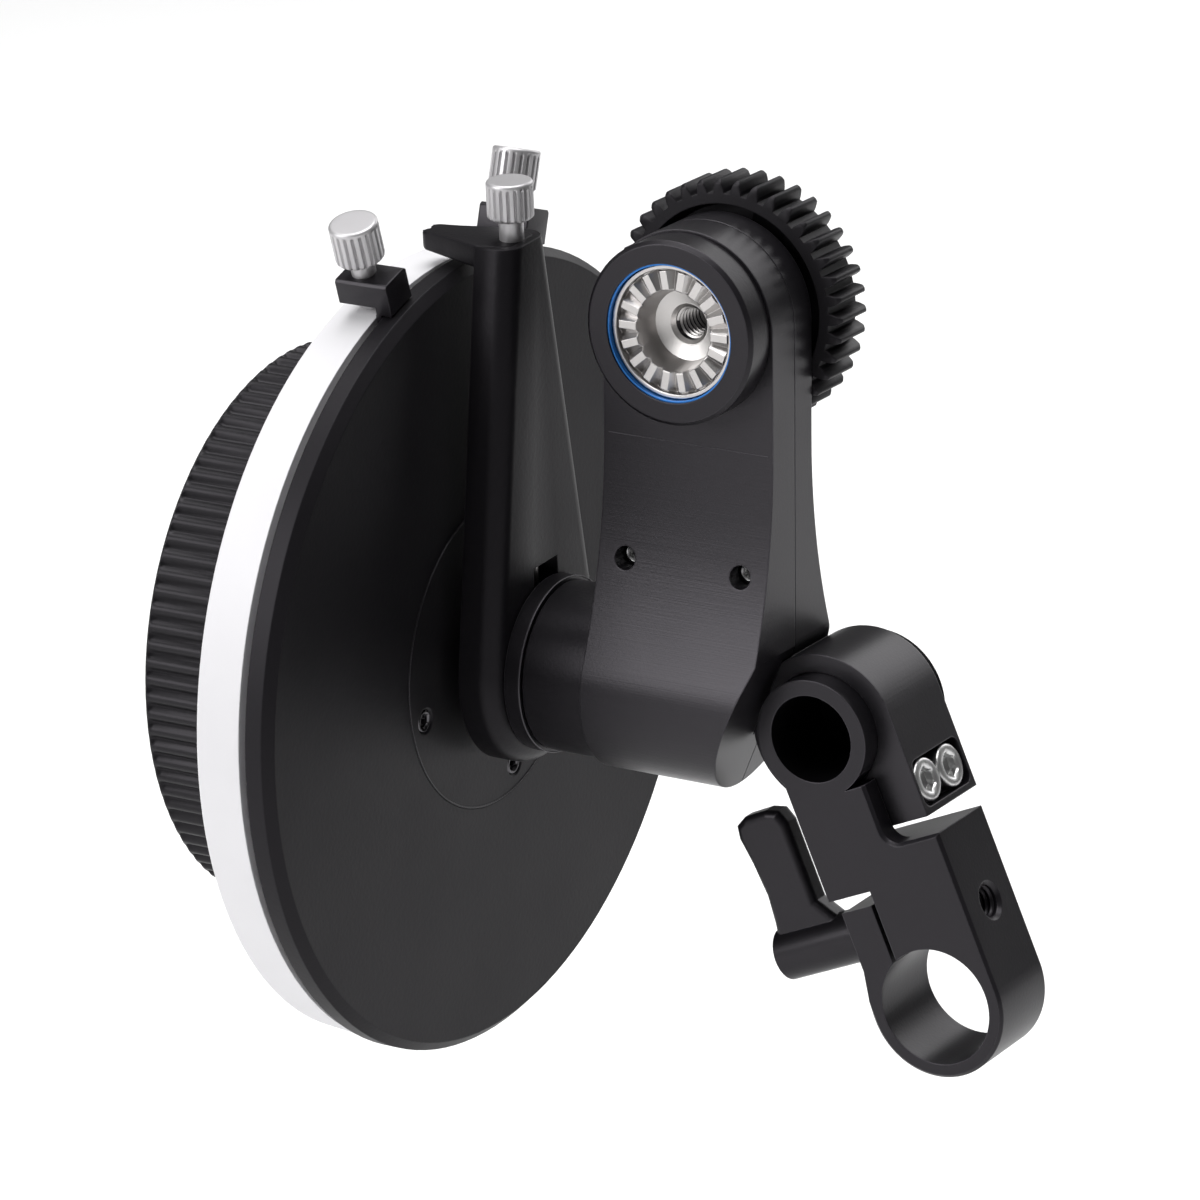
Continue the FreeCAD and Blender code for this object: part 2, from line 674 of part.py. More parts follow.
def slanted_block():
    """Everything beyond the slanted plane that lets the arm fold past the clamp's neck."""
    block = box("slant_block", ("60", "60", "90"), ("0", "0", "0"))
    corner_x = "spigot_x - slant_clearance*cos(slant_angle) - 60*sin(slant_angle)"
    corner_z = "spigot_z + slant_clearance*sin(slant_angle) - 60*cos(slant_angle)"
    return place(block, (corner_x, "-30", corner_z), "Y", "slant_angle")


def train_space():
    """Hollows that the bevel train, its shafts and bearings run in."""
    wall = "housing_wall"
    head = rod("head_space", BEVEL_RADIUS + " + 0.7", "arm_back - arm_front - " + wall + " - 0.6",
               ("arm_centre", "arm_front + 0.6", "drive_height"), "Y")
    belly = rod("belly_space", BEVEL_RADIUS + " + 0.9", BEVEL_RADIUS + " + 4.0",
                (ARM_LEFT + " + 2.8", ARM_MIDDLE, "wheel_height"), "X")
    column = rod("column_space", "lay_shaft_radius + 0.7", "drive_height - wheel_height",
                 ("arm_centre", ARM_MIDDLE, "wheel_height"), "Z")
    slot = box("column_slot", ("2*lay_shaft_radius + 1.4", "arm_split - " + ARM_MIDDLE, "drive_height - wheel_height"),
               ("arm_centre - lay_shaft_radius - 0.7", ARM_MIDDLE, "wheel_height"))
    spaces = [head, belly, column, slot]
    low = "(wheel_height + " + BEVEL_RADIUS + " + 1.9)"
    high = "(drive_height - " + BEVEL_RADIUS + " - 1.9 - lay_bearing_width)"
    for name, start in (("low", low), ("high", high)):
        spaces.append(rod(name + "_seat", "lay_bearing_radius", "lay_bearing_width",
                          ("arm_centre", ARM_MIDDLE, start), "Z"))
        spaces.append(box(name + "_seat_slot", ("2*lay_bearing_radius", "arm_split - " + ARM_MIDDLE,
                                                "lay_bearing_width"),
                          ("arm_centre - lay_bearing_radius", ARM_MIDDLE, start)))
    spaces.append(rod("low_pinion_space", PINION_RADIUS + " + 0.75", BEVEL_RADIUS + " + 1.9",
                      ("arm_centre", ARM_MIDDLE, "wheel_height"), "Z"))
    spaces.append(rod("high_pinion_space", PINION_RADIUS + " + 0.75", BEVEL_RADIUS + " + 1.9",
                      ("arm_centre", ARM_MIDDLE, "drive_height - " + BEVEL_RADIUS + " - 1.9"), "Z"))
    return fuse("train_space", *spaces)


def lug():
    """Split ring and block that grip the spigot, in the link frame."""
    depth = "lug_back - " + LUG_FRONT
    ring = rod("lug_ring", LUG_RADIUS, depth, ("-spigot_shift", LUG_FRONT, "link_length"), "Y")
    block = box("lug_block", (LUG_RADIUS + " + lug_left", depth, "link_length - " + LUG_BOTTOM),
                ("-spigot_shift - lug_left", LUG_FRONT, LUG_BOTTOM))
    joined = fuse("lug_joined", ring, block)
    joined = place(joined, axis="Y", angle="-link_tilt")
    return joined


def lug_hollows():
    """Bore, slit, pocket and screw holes of the lug, in the link frame."""
    reach = "clamp_width"
    bore = rod("lug_bore", "spigot_radius + running_gap", "4*" + reach,
               ("-spigot_shift", "-2*" + reach, "link_length"), "Y")
    slit = box("lug_slit_cut", ("lug_slit", "4*" + reach, "link_length - " + LUG_BOTTOM + " + 2"),
               ("-spigot_shift - lug_slit/2", "-2*" + reach, LUG_BOTTOM + " - 2"))
    right = "(spigot_radius + lug_wall - spigot_shift)"
    pocket_half = "(lug_screw_spacing/2 + lug_head_radius + 0.15)"
    pocket = box("lug_pocket", ("pocket_depth + 1", "2*" + pocket_half, "2*lug_head_radius + 0.4"),
                 (right + " - pocket_depth", LUG_MIDDLE + " - " + pocket_half,
                  "lug_screw_height - lug_head_radius - 0.2"))
    doc.recompute()
    rounded = softened("Fillet", "lug_pocket_round", pocket, "1.2",
                       lambda edge: abs(edge.BoundBox.YLength) < 1e-6 and abs(edge.BoundBox.ZLength) < 1e-6)
    hollows = [bore, slit, rounded]
    for index, side in enumerate((-1, 1)):
        hollows.append(rod("lug_screw_hole_%d" % index, "lug_screw_radius", "3*" + LUG_RADIUS,
                           ("-spigot_shift - lug_left + 0.8", LUG_MIDDLE + " + %d*lug_screw_spacing/2" % side,
                            "lug_screw_height"), "X"))
    hollows.append(rod("plug_room", "plug_flange_radius + 0.3", "plug_flange + 2",
                       ("-spigot_shift", "lug_back", "link_length"), "Y"))
    joined = fuse("lug_hollows", *hollows)
    return place(joined, axis="Y", angle="-link_tilt")


def housing():
    """Front cover and rear housing, split along one plane."""
    block = arm_profile()
    head = rod("arm_head", "arm_half_width", "arm_back - arm_front", ("arm_centre", "arm_front", "drive_height"),
               "Y")
    arm = cut("arm_slanted", fuse("arm_joined", block, head), slanted_block())
    space = train_space()
    axle_hole = rod("axle_hole", "wheel_bush_radius", "2*wheel_bush_length", (ARM_LEFT + " - 2", ARM_MIDDLE,
                                                                             "wheel_height"), "X")
    front_half = box("front_half", ("80", "40", "120"), ("arm_centre - 40", "arm_split - 40", "0"))
    back_half = box("back_half", ("80", "40", "120"), ("arm_centre - 40", "arm_split", "0"))

    port_hole = rod("port_hole", "bezel_radius - 2.6", "10", ("arm_centre", "arm_front - 1", "drive_height"), "Y")
    lug_room = place(moved("lug_room", rod("lug_room_rod", LUG_RADIUS + " + air_gap", "clamp_width",
                                          ("-spigot_shift", LUG_FRONT + " - air_gap", "link_length"), "Y")),
                     axis="Y", angle="-link_tilt")
    screws = []
    for index, side in enumerate((-1, 1)):
        screws.append(rod("cover_screw_hole_%d" % index, "cover_screw_radius",
                          "arm_belly", ("arm_centre + %d*cover_screw_spacing/2" % side, "arm_front - arm_belly + 7.5",
                                        "cover_screw_height"), "Y"))
    shell = common("front_cover_block", arm, front_half)
    doc.recompute()
    split = number("arm_split")
    broken = softened("Chamfer", "front_cover_broken", shell, "split_break", lambda edge: lies_at(edge, "Y", split))
    front = cut("front_cover_cut", broken, space, axle_hole, port_hole, lug_room, *screws)
    keep(front, "front_cover")

    boss = rod("rear_boss", "bush_wall + drive_shaft_radius + 3.2", "2.6", ("arm_centre", "arm_back", "drive_height"),
               "Y")
    bush_hole = rod("rear_bush_hole", "drive_shaft_radius + bush_wall", "20", ("arm_centre", "0", "drive_height"),
                    "Y")
    rear_block = common("rear_block", arm, back_half)
    rear_joined = fuse("rear_joined", rear_block, lug())
    doc.recompute()
    side = number("arm_centre + arm_half_width")

    def armpit(edge):
        """Inner corner between the arm's right side and the lug's ring."""
        bound = edge.BoundBox
        return bound.XLength < 1e-3 and bound.ZLength < 1e-3 and bound.YLength > 2 \
            and abs(bound.XMax - side) < 1e-3 and abs(bound.ZMax - number("wheel_height")) < 12 \
            and bound.ZMax > number("wheel_height")
    filleted = softened("Fillet", "rear_filleted", rear_joined, "lug_fillet", armpit)
    rear = cut("rear_housing_cut", fuse("rear_with_boss", filleted, boss), space, axle_hole, bush_hole,
               lug_hollows(), rod("cover_thread_0", "cover_screw_radius", "4", (
                   "arm_centre - cover_screw_spacing/2", "arm_split", "cover_screw_height"), "Y"),
               rod("cover_thread_1", "cover_screw_radius", "4", (
                   "arm_centre + cover_screw_spacing/2", "arm_split", "cover_screw_height"), "Y"))
    keep(rear, "rear_housing")


def socket_screw(name, radius, head_radius, head_height, length, socket, along, at):
    """Cap screw: head from the start point outwards, shank the other way."""
    return turned(name, [("-" + length, "0"), ("-" + length, radius), ("0", radius), ("0", head_radius),
                         (head_height + " - 0.25", head_radius), (head_height, head_radius + " - 0.25"),
                         (head_height, socket), (head_height + " - 1.2", socket), (head_height + " - 1.2", "0")],
                  along, at)


def housing_screws():
    """Two screws that clamp the lug and two that hold the cover."""
    right = "(spigot_radius + lug_wall - spigot_shift)"
    pair = [socket_screw("lug_screw_%d" % index, "lug_screw_radius", "lug_head_radius", "lug_head_height",
                         "(" + LUG_RADIUS + " + lug_left - pocket_depth - 1.2)", "lug_socket", "X",
                         (right + " - pocket_depth", LUG_MIDDLE + " + %d*lug_screw_spacing/2" % side,
                          "lug_screw_height"))
            for index, side in enumerate((-1, 1))]
    keep(fuse("lug_screws_all", *pair), "lug_screws", tilted=True)
    start = "(arm_split - 4.2)"
    pair = [turned("cover_screw_%d" % index,
                   [(start, "0.8"), (start, "cover_screw_radius"), ("arm_split + 3", "cover_screw_radius"),
                    ("arm_split + 3", "0"), (start + " + 1.5", "0"), (start + " + 1.5", "0.8")],
                   "Y", ("arm_centre + %d*cover_screw_spacing/2" % side, "0", "cover_screw_height"))
            for index, side in enumerate((-1, 1))]
    keep(fuse("cover_screws_all", *pair), "cover_screws")


# ---------------------------------------------------------------- drive port, shaft and gear
def drive_group():
    """Bezel, blue ring and bushes on the arm, and what turns in them."""
    centre = ("arm_centre", "0", "drive_height")
    bush = "(sleeve_radius + bush_wall)"
    ring_seat = "(port_radius + blue_ring_wall + 0.1)"
    bezel = turned("bezel_body",
                   [(BEZEL_FRONT, ring_seat), (BEZEL_FRONT, "bezel_radius - 0.5"),
                    (BEZEL_FRONT + " + 0.5", "bezel_radius"), ("arm_front - 0.15", "bezel_radius"),
                    ("arm_front", "bezel_radius - 0.15"),
                    ("arm_front", "bezel_radius - 2.6"), ("arm_front + 0.55", "bezel_radius - 2.6"),
                    ("arm_front + 0.55", bush), (PORT_FLANGE_BACK + " + 0.1", bush),
                    (PORT_FLANGE_BACK + " + 0.1", ring_seat)], "Y", centre)
    keep(bezel, "front_bezel")
    keep(sleeve("blue_ring_body", ring_seat, "port_radius + 0.1", BEZEL_FRONT + " + 0.25",
                PORT_FLANGE_BACK + " - " + BEZEL_FRONT + " - 0.15", "Y", centre), "blue_ring")
    keep(sleeve("front_bush_body", bush, "sleeve_radius + running_gap", PORT_FLANGE_BACK + " + 0.1",
                "arm_front + 0.1 - " + PORT_FLANGE_BACK, "Y", centre), "front_bush")
    keep(sleeve("rear_bush_body", "drive_shaft_radius + bush_wall", "drive_shaft_radius + running_gap",
                "arm_back - housing_wall", "housing_wall + 2.4", "Y", centre), "rear_bush")

    tip = "drive_shaft_radius"
    shaft_end = "(" + GEAR_FRONT + " + gear_width - 0.4)"
    shaft = turned("drive_shaft_body",
                   [(PORT_FRONT, "port_recess_radius"), (PORT_FRONT, "port_radius"),
                    (PORT_FLANGE_BACK, "port_radius"), (PORT_FLANGE_BACK, "sleeve_radius"),
                    (PORT_FLOOR + " + 1.2", "sleeve_radius"), (PORT_FLOOR + " + 1.2", tip), (shaft_end, tip),
                    (shaft_end, "gear_screw_radius"), (shaft_end + " - 6", "gear_screw_radius"),
                    (shaft_end + " - 6", "0"), (PORT_FLOOR + " + 6", "0"), (PORT_FLOOR + " + 6", "port_thread_radius"),
                    (PORT_FLOOR + " + 0.7", "port_thread_radius"), (PORT_FLOOR, "port_thread_radius + 0.7"),
                    (PORT_FLOOR, "port_recess_radius")], "Y", centre)
    gaps = []
    teeth = int(number("port_teeth"))
    for index in range(teeth):
        gap = box("port_gap_%d" % index, ("port_radius - 0.6", "port_tooth_depth + 1", "1.25"),
                  ("port_recess_radius - 1.5", PORT_FRONT + " - 1", "-0.625"))
        spin = moved("port_gap_turn_%d" % index, gap)
        gaps.append(place(spin, centre, "Y", "360*(%d + 0.5)/port_teeth" % index))
    rim = sleeve("port_rim", "port_radius + 3", "port_radius - 0.45", PORT_FRONT + " - 2", "4", "Y", centre)
    toothed = cut("drive_port_toothed", shaft, cut("port_gaps", fuse("port_gap_ring", *gaps), rim))
    keep(toothed, "drive_shaft")

    gear_position = FreeCAD.Placement(V(number("arm_centre"), number(GEAR_FRONT), number("drive_height")),
                                      FreeCAD.Rotation(AXES["X"], -90))
    spur = solid("gear_teeth_solid", spur_gear_shape(number("gear_module"), int(number("gear_teeth")),
                                                    number("gear_width")), gear_position)
    tip_radius = "(gear_module*gear_teeth/2 + gear_module)"
    dish = turned("gear_dish", [(GEAR_FRONT + " - 1", "0"), (GEAR_FRONT + " - 1", "gear_dish_radius"),
                                (GEAR_FRONT + " + gear_dish_depth", "gear_dish_radius - 0.8"),
                                (GEAR_FRONT + " + gear_dish_depth", "0")], "Y", centre)
    gear_back = "(" + GEAR_FRONT + " + gear_width)"
    back_dish = turned("gear_back_dish", [(gear_back + " - 1.6", "gear_hub_radius"),
                                          (gear_back + " - 1.6", "gear_dish_radius - 1"),
                                          (gear_back + " + 1", "gear_dish_radius"),
                                          (gear_back + " + 1", "gear_hub_radius")], "Y", centre)
    crowns = [turned("gear_crown_%d" % index,
                     [(end, tip_radius + " - gear_crown"), (end, tip_radius + " + 1"),
                      (end + " %s (gear_crown + 1)" % sign, tip_radius + " + 1")], "Y", centre)
              for index, (end, sign) in enumerate(((GEAR_FRONT, "+"), (gear_back, "-")))]
    bore = rod("gear_bore", "drive_shaft_radius", "60", ("arm_centre", "-20", "drive_height"), "Y")
    keep(cut("drive_gear_cut", spur, dish, back_dish, *crowns, bore), "drive_gear")
    keep(sleeve("gear_washer_body", "gear_hub_radius", "gear_screw_radius + 0.2", gear_back, "1", "Y", centre),
         "gear_washer")
    keep(socket_screw("gear_screw_body", "gear_screw_radius", "3.5", "3.2", "6", "1.5", "Y",
                      ("arm_centre", gear_back + " + 1", "drive_height")), "gear_screw")


# ---------------------------------------------------------------- bevel train
def bevel_train():
    """Bevel pair from the wheel's axle to the lay shaft, and from there to the drive shaft."""
    module, face, thin = (number(name) for name in ("bevel_module", "bevel_face", "bevel_backlash"))
    large, small = int(number("bevel_teeth")), int(number("pinion_teeth"))
    centre, middle = number("arm_centre"), number(ARM_MIDDLE)
    low, high = number("wheel_height"), number("drive_height")
    half_step = 180/small

    wheel_bevel = bevel_gear_shape(module, large, small, face, thin, number("wheel_shaft_radius") + 1.6, 1.6,
                                   number("wheel_shaft_radius"))
    turn = FreeCAD.Rotation(AXES["Y"], -90)
    keep(solid("wheel_bevel_solid", wheel_bevel, FreeCAD.Placement(V(centre, middle, low), turn)), "wheel_bevel")

    drive_bevel = bevel_gear_shape(module, large, small, face, thin, number("sleeve_radius") + 1.0, 0.2,
                                   number("sleeve_radius"))
    turn = FreeCAD.Rotation(AXES["X"], 90)
    keep(solid("drive_bevel_solid", drive_bevel, FreeCAD.Placement(V(centre, middle, high), turn)), "drive_bevel")

    pinion = bevel_gear_shape(module, small, large, face, thin, number("lay_shaft_radius") + 1.1, 0.5,
                              number("lay_shaft_radius"))
    upright = FreeCAD.Rotation(AXES["Z"], half_step)
    keep(solid("low_pinion_solid", pinion, FreeCAD.Placement(V(centre, middle, low), upright)), "low_pinion")
    upended = FreeCAD.Rotation(AXES["X"], 180).multiply(FreeCAD.Rotation(AXES["Z"], 90 + half_step))
    keep(solid("high_pinion_solid", pinion, FreeCAD.Placement(V(centre, middle, high), upended)), "high_pinion")

    reach = "(" + BEVEL_RADIUS + " - bevel_face)"
    keep(turned("lay_shaft_body",
                [("wheel_height + " + reach, "0"), ("wheel_height + " + reach, "lay_shaft_radius"),
                 ("drive_height - " + reach, "lay_shaft_radius"), ("drive_height - " + reach, "0")],
                "Z", ("arm_centre", ARM_MIDDLE, "0")), "lay_shaft")
    low_seat = "(wheel_height + " + BEVEL_RADIUS + " + 1.9)"
    high_seat = "(drive_height - " + BEVEL_RADIUS + " - 1.9 - lay_bearing_width)"
    pair = [sleeve(name, "lay_bearing_radius - 0.01", "lay_shaft_radius + running_gap", start, "lay_bearing_width",
                   "Z", ("arm_centre", ARM_MIDDLE, "0")) for name, start in (("low_bush", low_seat),
                                                                              ("high_bush", high_seat))]
    keep(fuse("lay_bushes_all", *pair), "lay_bushes")


# ---------------------------------------------------------------- hub tube and axle
def axle_group():
    """Tube between the arm and the wheel, its bushes, collar and ring, and the axle inside."""
    line = ("0", ARM_MIDDLE, "wheel_height")
    nose_end = "(" + INDEX_LEFT + " - 1.8)"
    bush_room = "wheel_bush_radius"
    keep(turned("tube_body",
                [(ARM_LEFT, bush_room), (ARM_LEFT, "tube_radius"), ("tube_end + 0.3", "tube_radius"),
                 ("tube_end", "tube_radius - 0.3"), ("tube_end", "tube_nose_radius"),
                 (nose_end, "tube_nose_radius"), (nose_end, bush_room), (nose_end + " + wheel_bush_length", bush_room),
                 (nose_end + " + wheel_bush_length", "wheel_shaft_radius + 1"),
                 (ARM_LEFT + " - 2", "wheel_shaft_radius + 1"), (ARM_LEFT + " - 2", bush_room)], "X", line),
         "hub_tube")
    keep(sleeve("collar_body", "collar_radius", "tube_nose_radius", "index_face + 0.1",
                "tube_end - index_face - 0.15", "X", line), "hub_collar")
    keep(sleeve("retainer_body", "tube_nose_radius + 2", "tube_nose_radius", nose_end + " + 0.1", "1.6", "X", line),
         "retaining_ring")
    pair = [sleeve(name, bush_room, "wheel_shaft_radius + running_gap", start, "wheel_bush_length - 0.2", "X", line)
            for name, start in (("outer_axle_bush", nose_end + " + 0.1"), ("inner_axle_bush", ARM_LEFT + " - 2"))]
    keep(fuse("axle_bushes_all", *pair), "axle_bushes")
    axle_end = "(" + DISC_FRONT + " - 5.9)"
    keep(turned("axle_body",
                [(axle_end, "0"), (axle_end, "wheel_shaft_radius + 2.5"), (DISC_FRONT, "wheel_shaft_radius + 2.5"),
                 (DISC_FRONT, "wheel_shaft_radius"),
                 ("arm_centre - 2", "wheel_shaft_radius"), ("arm_centre - 2", "0")], "X", line), "wheel_axle")


# ---------------------------------------------------------------- handwheel
def handwheel():
    """Back disc with its hub plate, marking ring, ribbed grip and front cover."""
    line = ("0", ARM_MIDDLE, "wheel_height")
    plate_front = "(wheel_back - hub_plate_thickness)"
    keep(turned("disc_body",
                [("wheel_back", "hub_plate_radius + 0.1"), ("wheel_back", "disc_radius - disc_chamfer"),
                 ("wheel_back - disc_chamfer", "disc_radius"), (DISC_FRONT, "disc_radius"),
                 (DISC_FRONT, "wheel_shaft_radius"), (plate_front, "wheel_shaft_radius"),
                 (plate_front, "hub_plate_radius + 0.1")], "X", line), "wheel_disc")
    hub = sleeve("hub_plate_body", "hub_plate_radius", "wheel_shaft_radius", plate_front, "hub_plate_thickness",
                 "X", line)
    count = int(number("hub_screws"))
    holes, screws = [], []
    for index in range(count):
        angle = math.radians(360*index/count + number("hub_screw_turn"))
        at = ("wheel_back", ARM_MIDDLE + " + hub_screw_circle*%.6f" % math.cos(angle),
              "wheel_height + hub_screw_circle*%.6f" % math.sin(angle))
        holes.append(turned("hub_hole_%d" % index,
                            [("-5", "0"), ("-5", "1.0"), ("-0.75", "1.0"), ("0.05", "1.8"), ("0.05", "0")], "X", at))
        screws.append(turned("hub_screw_%d" % index,
                             [("-hub_plate_thickness", "0"), ("-hub_plate_thickness", "1.0"), ("-0.75", "1.0"),
                              ("-0.05", "1.7"), ("-0.05", "0.8"), ("-0.8", "0.8"), ("-0.8", "0")], "X", at))
    keep(cut("hub_plate_cut", hub, *holes), "hub_plate")
    keep(fuse("hub_plate_screws_all", *screws), "hub_plate_screws")

    groove_end = "(" + DISC_FRONT + " - groove_width)"
    keep(turned("marking_body",
                [(DISC_FRONT, "grip_radius"), (DISC_FRONT, "disc_radius - groove_depth"),
                 (groove_end, "disc_radius - groove_depth"), (groove_end, "marking_radius"),
                 ("marking_end + 0.4", "marking_front_radius"), ("marking_end", "marking_front_radius - 0.4"),
                 ("marking_end", "grip_radius")], "X", line), "marking_ring")
    inner = "(grip_radius - grip_wall)"
    cover_back = "(grip_end + knob_cover_thickness + 0.6)"
    grip = turned("grip_body",
                  [(DISC_FRONT, "wheel_shaft_radius + 2.55"), (DISC_FRONT, "grip_radius"),
                   ("grip_end + 0.8", "grip_radius"), ("grip_end", "grip_radius - 0.8"), ("grip_end", inner),
                   (cover_back, inner), (cover_back, inner + " - 1.5"), (DISC_FRONT + " - 4", inner + " - 1.5"),
                   (DISC_FRONT + " - 4", "12"), (DISC_FRONT + " - 6", "9"), (DISC_FRONT + " - 6",
                                                                             "wheel_shaft_radius + 2.55")], "X", line)
    flute(grip, "grip_radius + 0.25*flute_radius", "flute_radius", "grip_end - 1",
          "marking_end - grip_end + 1", int(number("grip_flutes")))
    keep(grip, "hand_grip")
    cover_front = "(grip_end + 0.6)"
    cover = turned("knob_cover_body",
                   [(cover_front, "0"), (cover_front, inner + " - 0.6"), (cover_front + " + 0.4", inner + " - 0.1"),
                    (cover_back, inner + " - 0.1"), (cover_back, "9"), (cover_front + " + socket_depth + 2", "9"),
                    (cover_front + " + socket_depth + 2", "0")], "X", line)
    socket = box("socket_cut", ("socket_depth + 1", "socket_side", "socket_side"),
                 (cover_front + " - 1", ARM_MIDDLE + " - socket_side/2", "wheel_height - socket_side/2"))
    keep(cut("knob_cover_cut", cover, socket), "knob_cover")


# ---------------------------------------------------------------- index arm
def thumb_screw(name, radius, head_radius, head_height, neck, length, ribs, at, lean=None):
    """Knurled screw whose head stands a neck above the start point; the shank runs the other way."""
    top = "(%s + %s)" % (neck, head_height)
    body = turned(name, [("-" + length, "0"), ("-" + length + " + 0", radius + " - 0.3"),
                         ("-" + length + " + 0.4", radius), (neck, radius), (neck, head_radius + " - 0.4"),
                         (neck + " + 0.4", head_radius), (top + " - 0.7", head_radius),
                         (top, head_radius + " - 0.7"), (top, "0")], "X")
    flute(body, head_radius, "0.28", neck + " - 0.1", head_height + " - 0.5", ribs)
    upright = place(moved(name + "_upright", body), ("0", "0", at), "Y", "-90")
    return upright


def index_arm():
    """Tapered arm with the pointer, and its knurled screw and lock rod, leaning about the wheel's axle."""
    # angle up from the horizontal at which the tapered sides touch the hub's circle
    touch = "(atan(index_height/index_top_half)" \
            " - acos(index_hub_radius/sqrt(index_height^2 + index_top_half^2)))"
    across = "index_hub_radius*cos(%s)" % touch
    above = "index_hub_radius*sin(%s)" % touch
    blade_low = "(index_height - pointer_root)"
    taper = plate("index_taper", "YZ_Plane",
                  [("-" + across, above), (across, above), ("index_top_half", "index_height"),
                   ("-index_top_half", "index_height")], "index_thickness", (INDEX_LEFT, "0", "0"))
    hub = rod("index_hub", "index_hub_radius", "index_thickness", (INDEX_LEFT, "0", "0"), "X")
    side = plate("pointer_side", "XZ_Plane",
                 [(INDEX_LEFT + " + 1", blade_low), (INDEX_LEFT + " - pointer_reach", "index_height - pointer_tip"),
                  (INDEX_LEFT + " - pointer_reach", "index_height"), (INDEX_LEFT + " + 1", "index_height")],
                 "4*index_top_half", ("0", "2*index_top_half", "0"))
    plan = plate("pointer_plan", "XY_Plane",
                 [(INDEX_LEFT + " + 1", "-index_top_half"), (INDEX_LEFT + " + 1", "index_top_half"),
                  (INDEX_LEFT + " - pointer_reach", "pointer_tip_half"),
                  (INDEX_LEFT + " - pointer_reach + 0.8", "0"),
                  (INDEX_LEFT + " - pointer_reach", "-pointer_tip_half")], "2*index_height", ("0", "0", "0"))
    whole = fuse("index_whole", taper, hub, common("pointer_blade", side, plan))
    bore = rod("index_bore", "tube_nose_radius + running_gap", "3*index_thickness",
               (INDEX_LEFT + " - index_thickness", "0", "0"), "X")
    middle = "(index_face - index_thickness/2)"
    channel = rod("index_channel", "thumb_screw_radius + running_gap", "index_height",
                  (middle, "0", "tube_nose_radius"), "Z")
    notch = box("index_notch", ("notch_depth + 1", "notch_width", "index_hub_radius + 0.1 - tube_nose_radius"),
                ("index_face - notch_depth", "-notch_width/2", "tube_nose_radius"))
    carved = cut("index_carved", whole, bore, channel, notch)
    doc.recompute()
    face = number("index_face")
    low = number("index_hub_radius")

    def front_ridge(edge):
        """Front edge of the arm's right face and its round lower end."""
        centre = edge.BoundBox.Center
        straight = edge.BoundBox.ZLength > 1.5*low and centre.y < 0
        return lies_at(edge, "X", face) and (straight or edge.BoundBox.ZMin < -0.9*low)
    rounded = softened("Fillet", "index_front_softened", carved, "index_front_round", front_ridge)
    at = ("0", ARM_MIDDLE, "wheel_height")
    keep(place(moved("index_arm_all", rounded), at, "X", "index_lean"), "index_arm")

    screw_length = "12"
    screw = thumb_screw("index_screw_body", "thumb_screw_radius", "thumb_head_radius", "thumb_head_height",
                        "thumb_neck", screw_length, 20, "index_height")
    screw.setExpression("Placement.Base.x", formula(middle))
    keep(place(moved("index_screw_all", screw), at, "X", "index_lean"), "index_screw")
    lock = rod("lock_rod_body", "thumb_screw_radius - 0.1", "index_height - tube_nose_radius - 12.3",
               (middle, "0", "tube_nose_radius + 0.1"), "Z")
    keep(place(moved("lock_rod_all", lock), at, "X", "index_lean"), "lock_rod")


# ---------------------------------------------------------------- hard stops
def hard_stop(letter, lean):
    """Stop block whose foot runs in the wheel's groove, and its knurled lock screw."""
    left = STOP_RIGHT + " - stop_length"
    under = "(disc_radius + stop_floor_gap)"
    beam = box("stop_beam_" + letter, ("stop_length", "stop_width", STOP_TOP + " - " + under),
               (left, "-stop_width/2", under))
    leg = box("stop_leg_" + letter, ("stop_leg", "stop_width", under + " - " + STOP_FLOOR + " + 0.1"),
              (STOP_RIGHT + " - stop_leg", "-stop_width/2", STOP_FLOOR))
    foot = box("stop_foot_" + letter, ("groove_width - 0.35", "stop_width", "groove_depth - 0.1"),
               (DISC_FRONT + " - groove_width + 0.25", "-stop_width/2",
                "disc_radius - groove_depth + air_gap + 0.1"))
    whole = fuse("stop_whole_" + letter, beam, leg, foot)
    at_screw = "(" + STOP_RIGHT + " - stop_length + 2.9)"
    hole = rod("stop_hole_" + letter, "thumb_screw_radius + running_gap", "20", (at_screw, "0", "disc_radius"), "Z")
    drilled = cut("stop_drilled_" + letter, whole, hole)
    top = number(STOP_TOP)
    rounded = softened("Chamfer", "stop_chamfered_" + letter, drilled, "0.4",
                       lambda edge: lies_at(edge, "Z", top) and edge.BoundBox.DiagonalLength > 5
                       and (edge.BoundBox.XLength < 1e-6 or edge.BoundBox.YLength < 1e-6))
    at = ("0", ARM_MIDDLE, "wheel_height")
    keep(place(moved("stop_all_" + letter, rounded), at, "X", lean), "stop_" + letter)
    screw = thumb_screw("stop_screw_body_" + letter, "thumb_screw_radius", "stop_head_radius", "stop_head_height",
                        "stop_neck", "(" + STOP_TOP + " - marking_radius - 0.25)", 22, STOP_TOP)
    screw.setExpression("Placement.Base.x", formula(at_screw))
    keep(place(moved("stop_screw_all_" + letter, screw), at, "X", lean), "stop_screw_" + letter)


rod_clamp()
spigot_plug()
clamp_lever()
housing()
housing_screws()
drive_group()
bevel_train()
axle_group()
handwheel()
index_arm()
hard_stop("a", "stop_angle_a")
hard_stop("b", "-stop_angle_b")
doc.recompute()

# ---------------------------------------------------------------- check and write
failed = [feature.Name for feature in doc.Objects if {"Invalid", "Error"} & set(feature.State)]
failed += [piece.Label for piece in PARTS if piece.Shape.isNull() or not piece.Shape.isValid()]
if failed:
    raise RuntimeError("failed: " + ", ".join(failed))
os.makedirs("parts", exist_ok=True)
for piece in PARTS:
    piece.Shape.exportStep("parts/%s.step" % piece.Label)
    print("%-18s %9.1f mm3 %d solid(s)" % (piece.Label, piece.Shape.Volume, len(piece.Shape.Solids)))
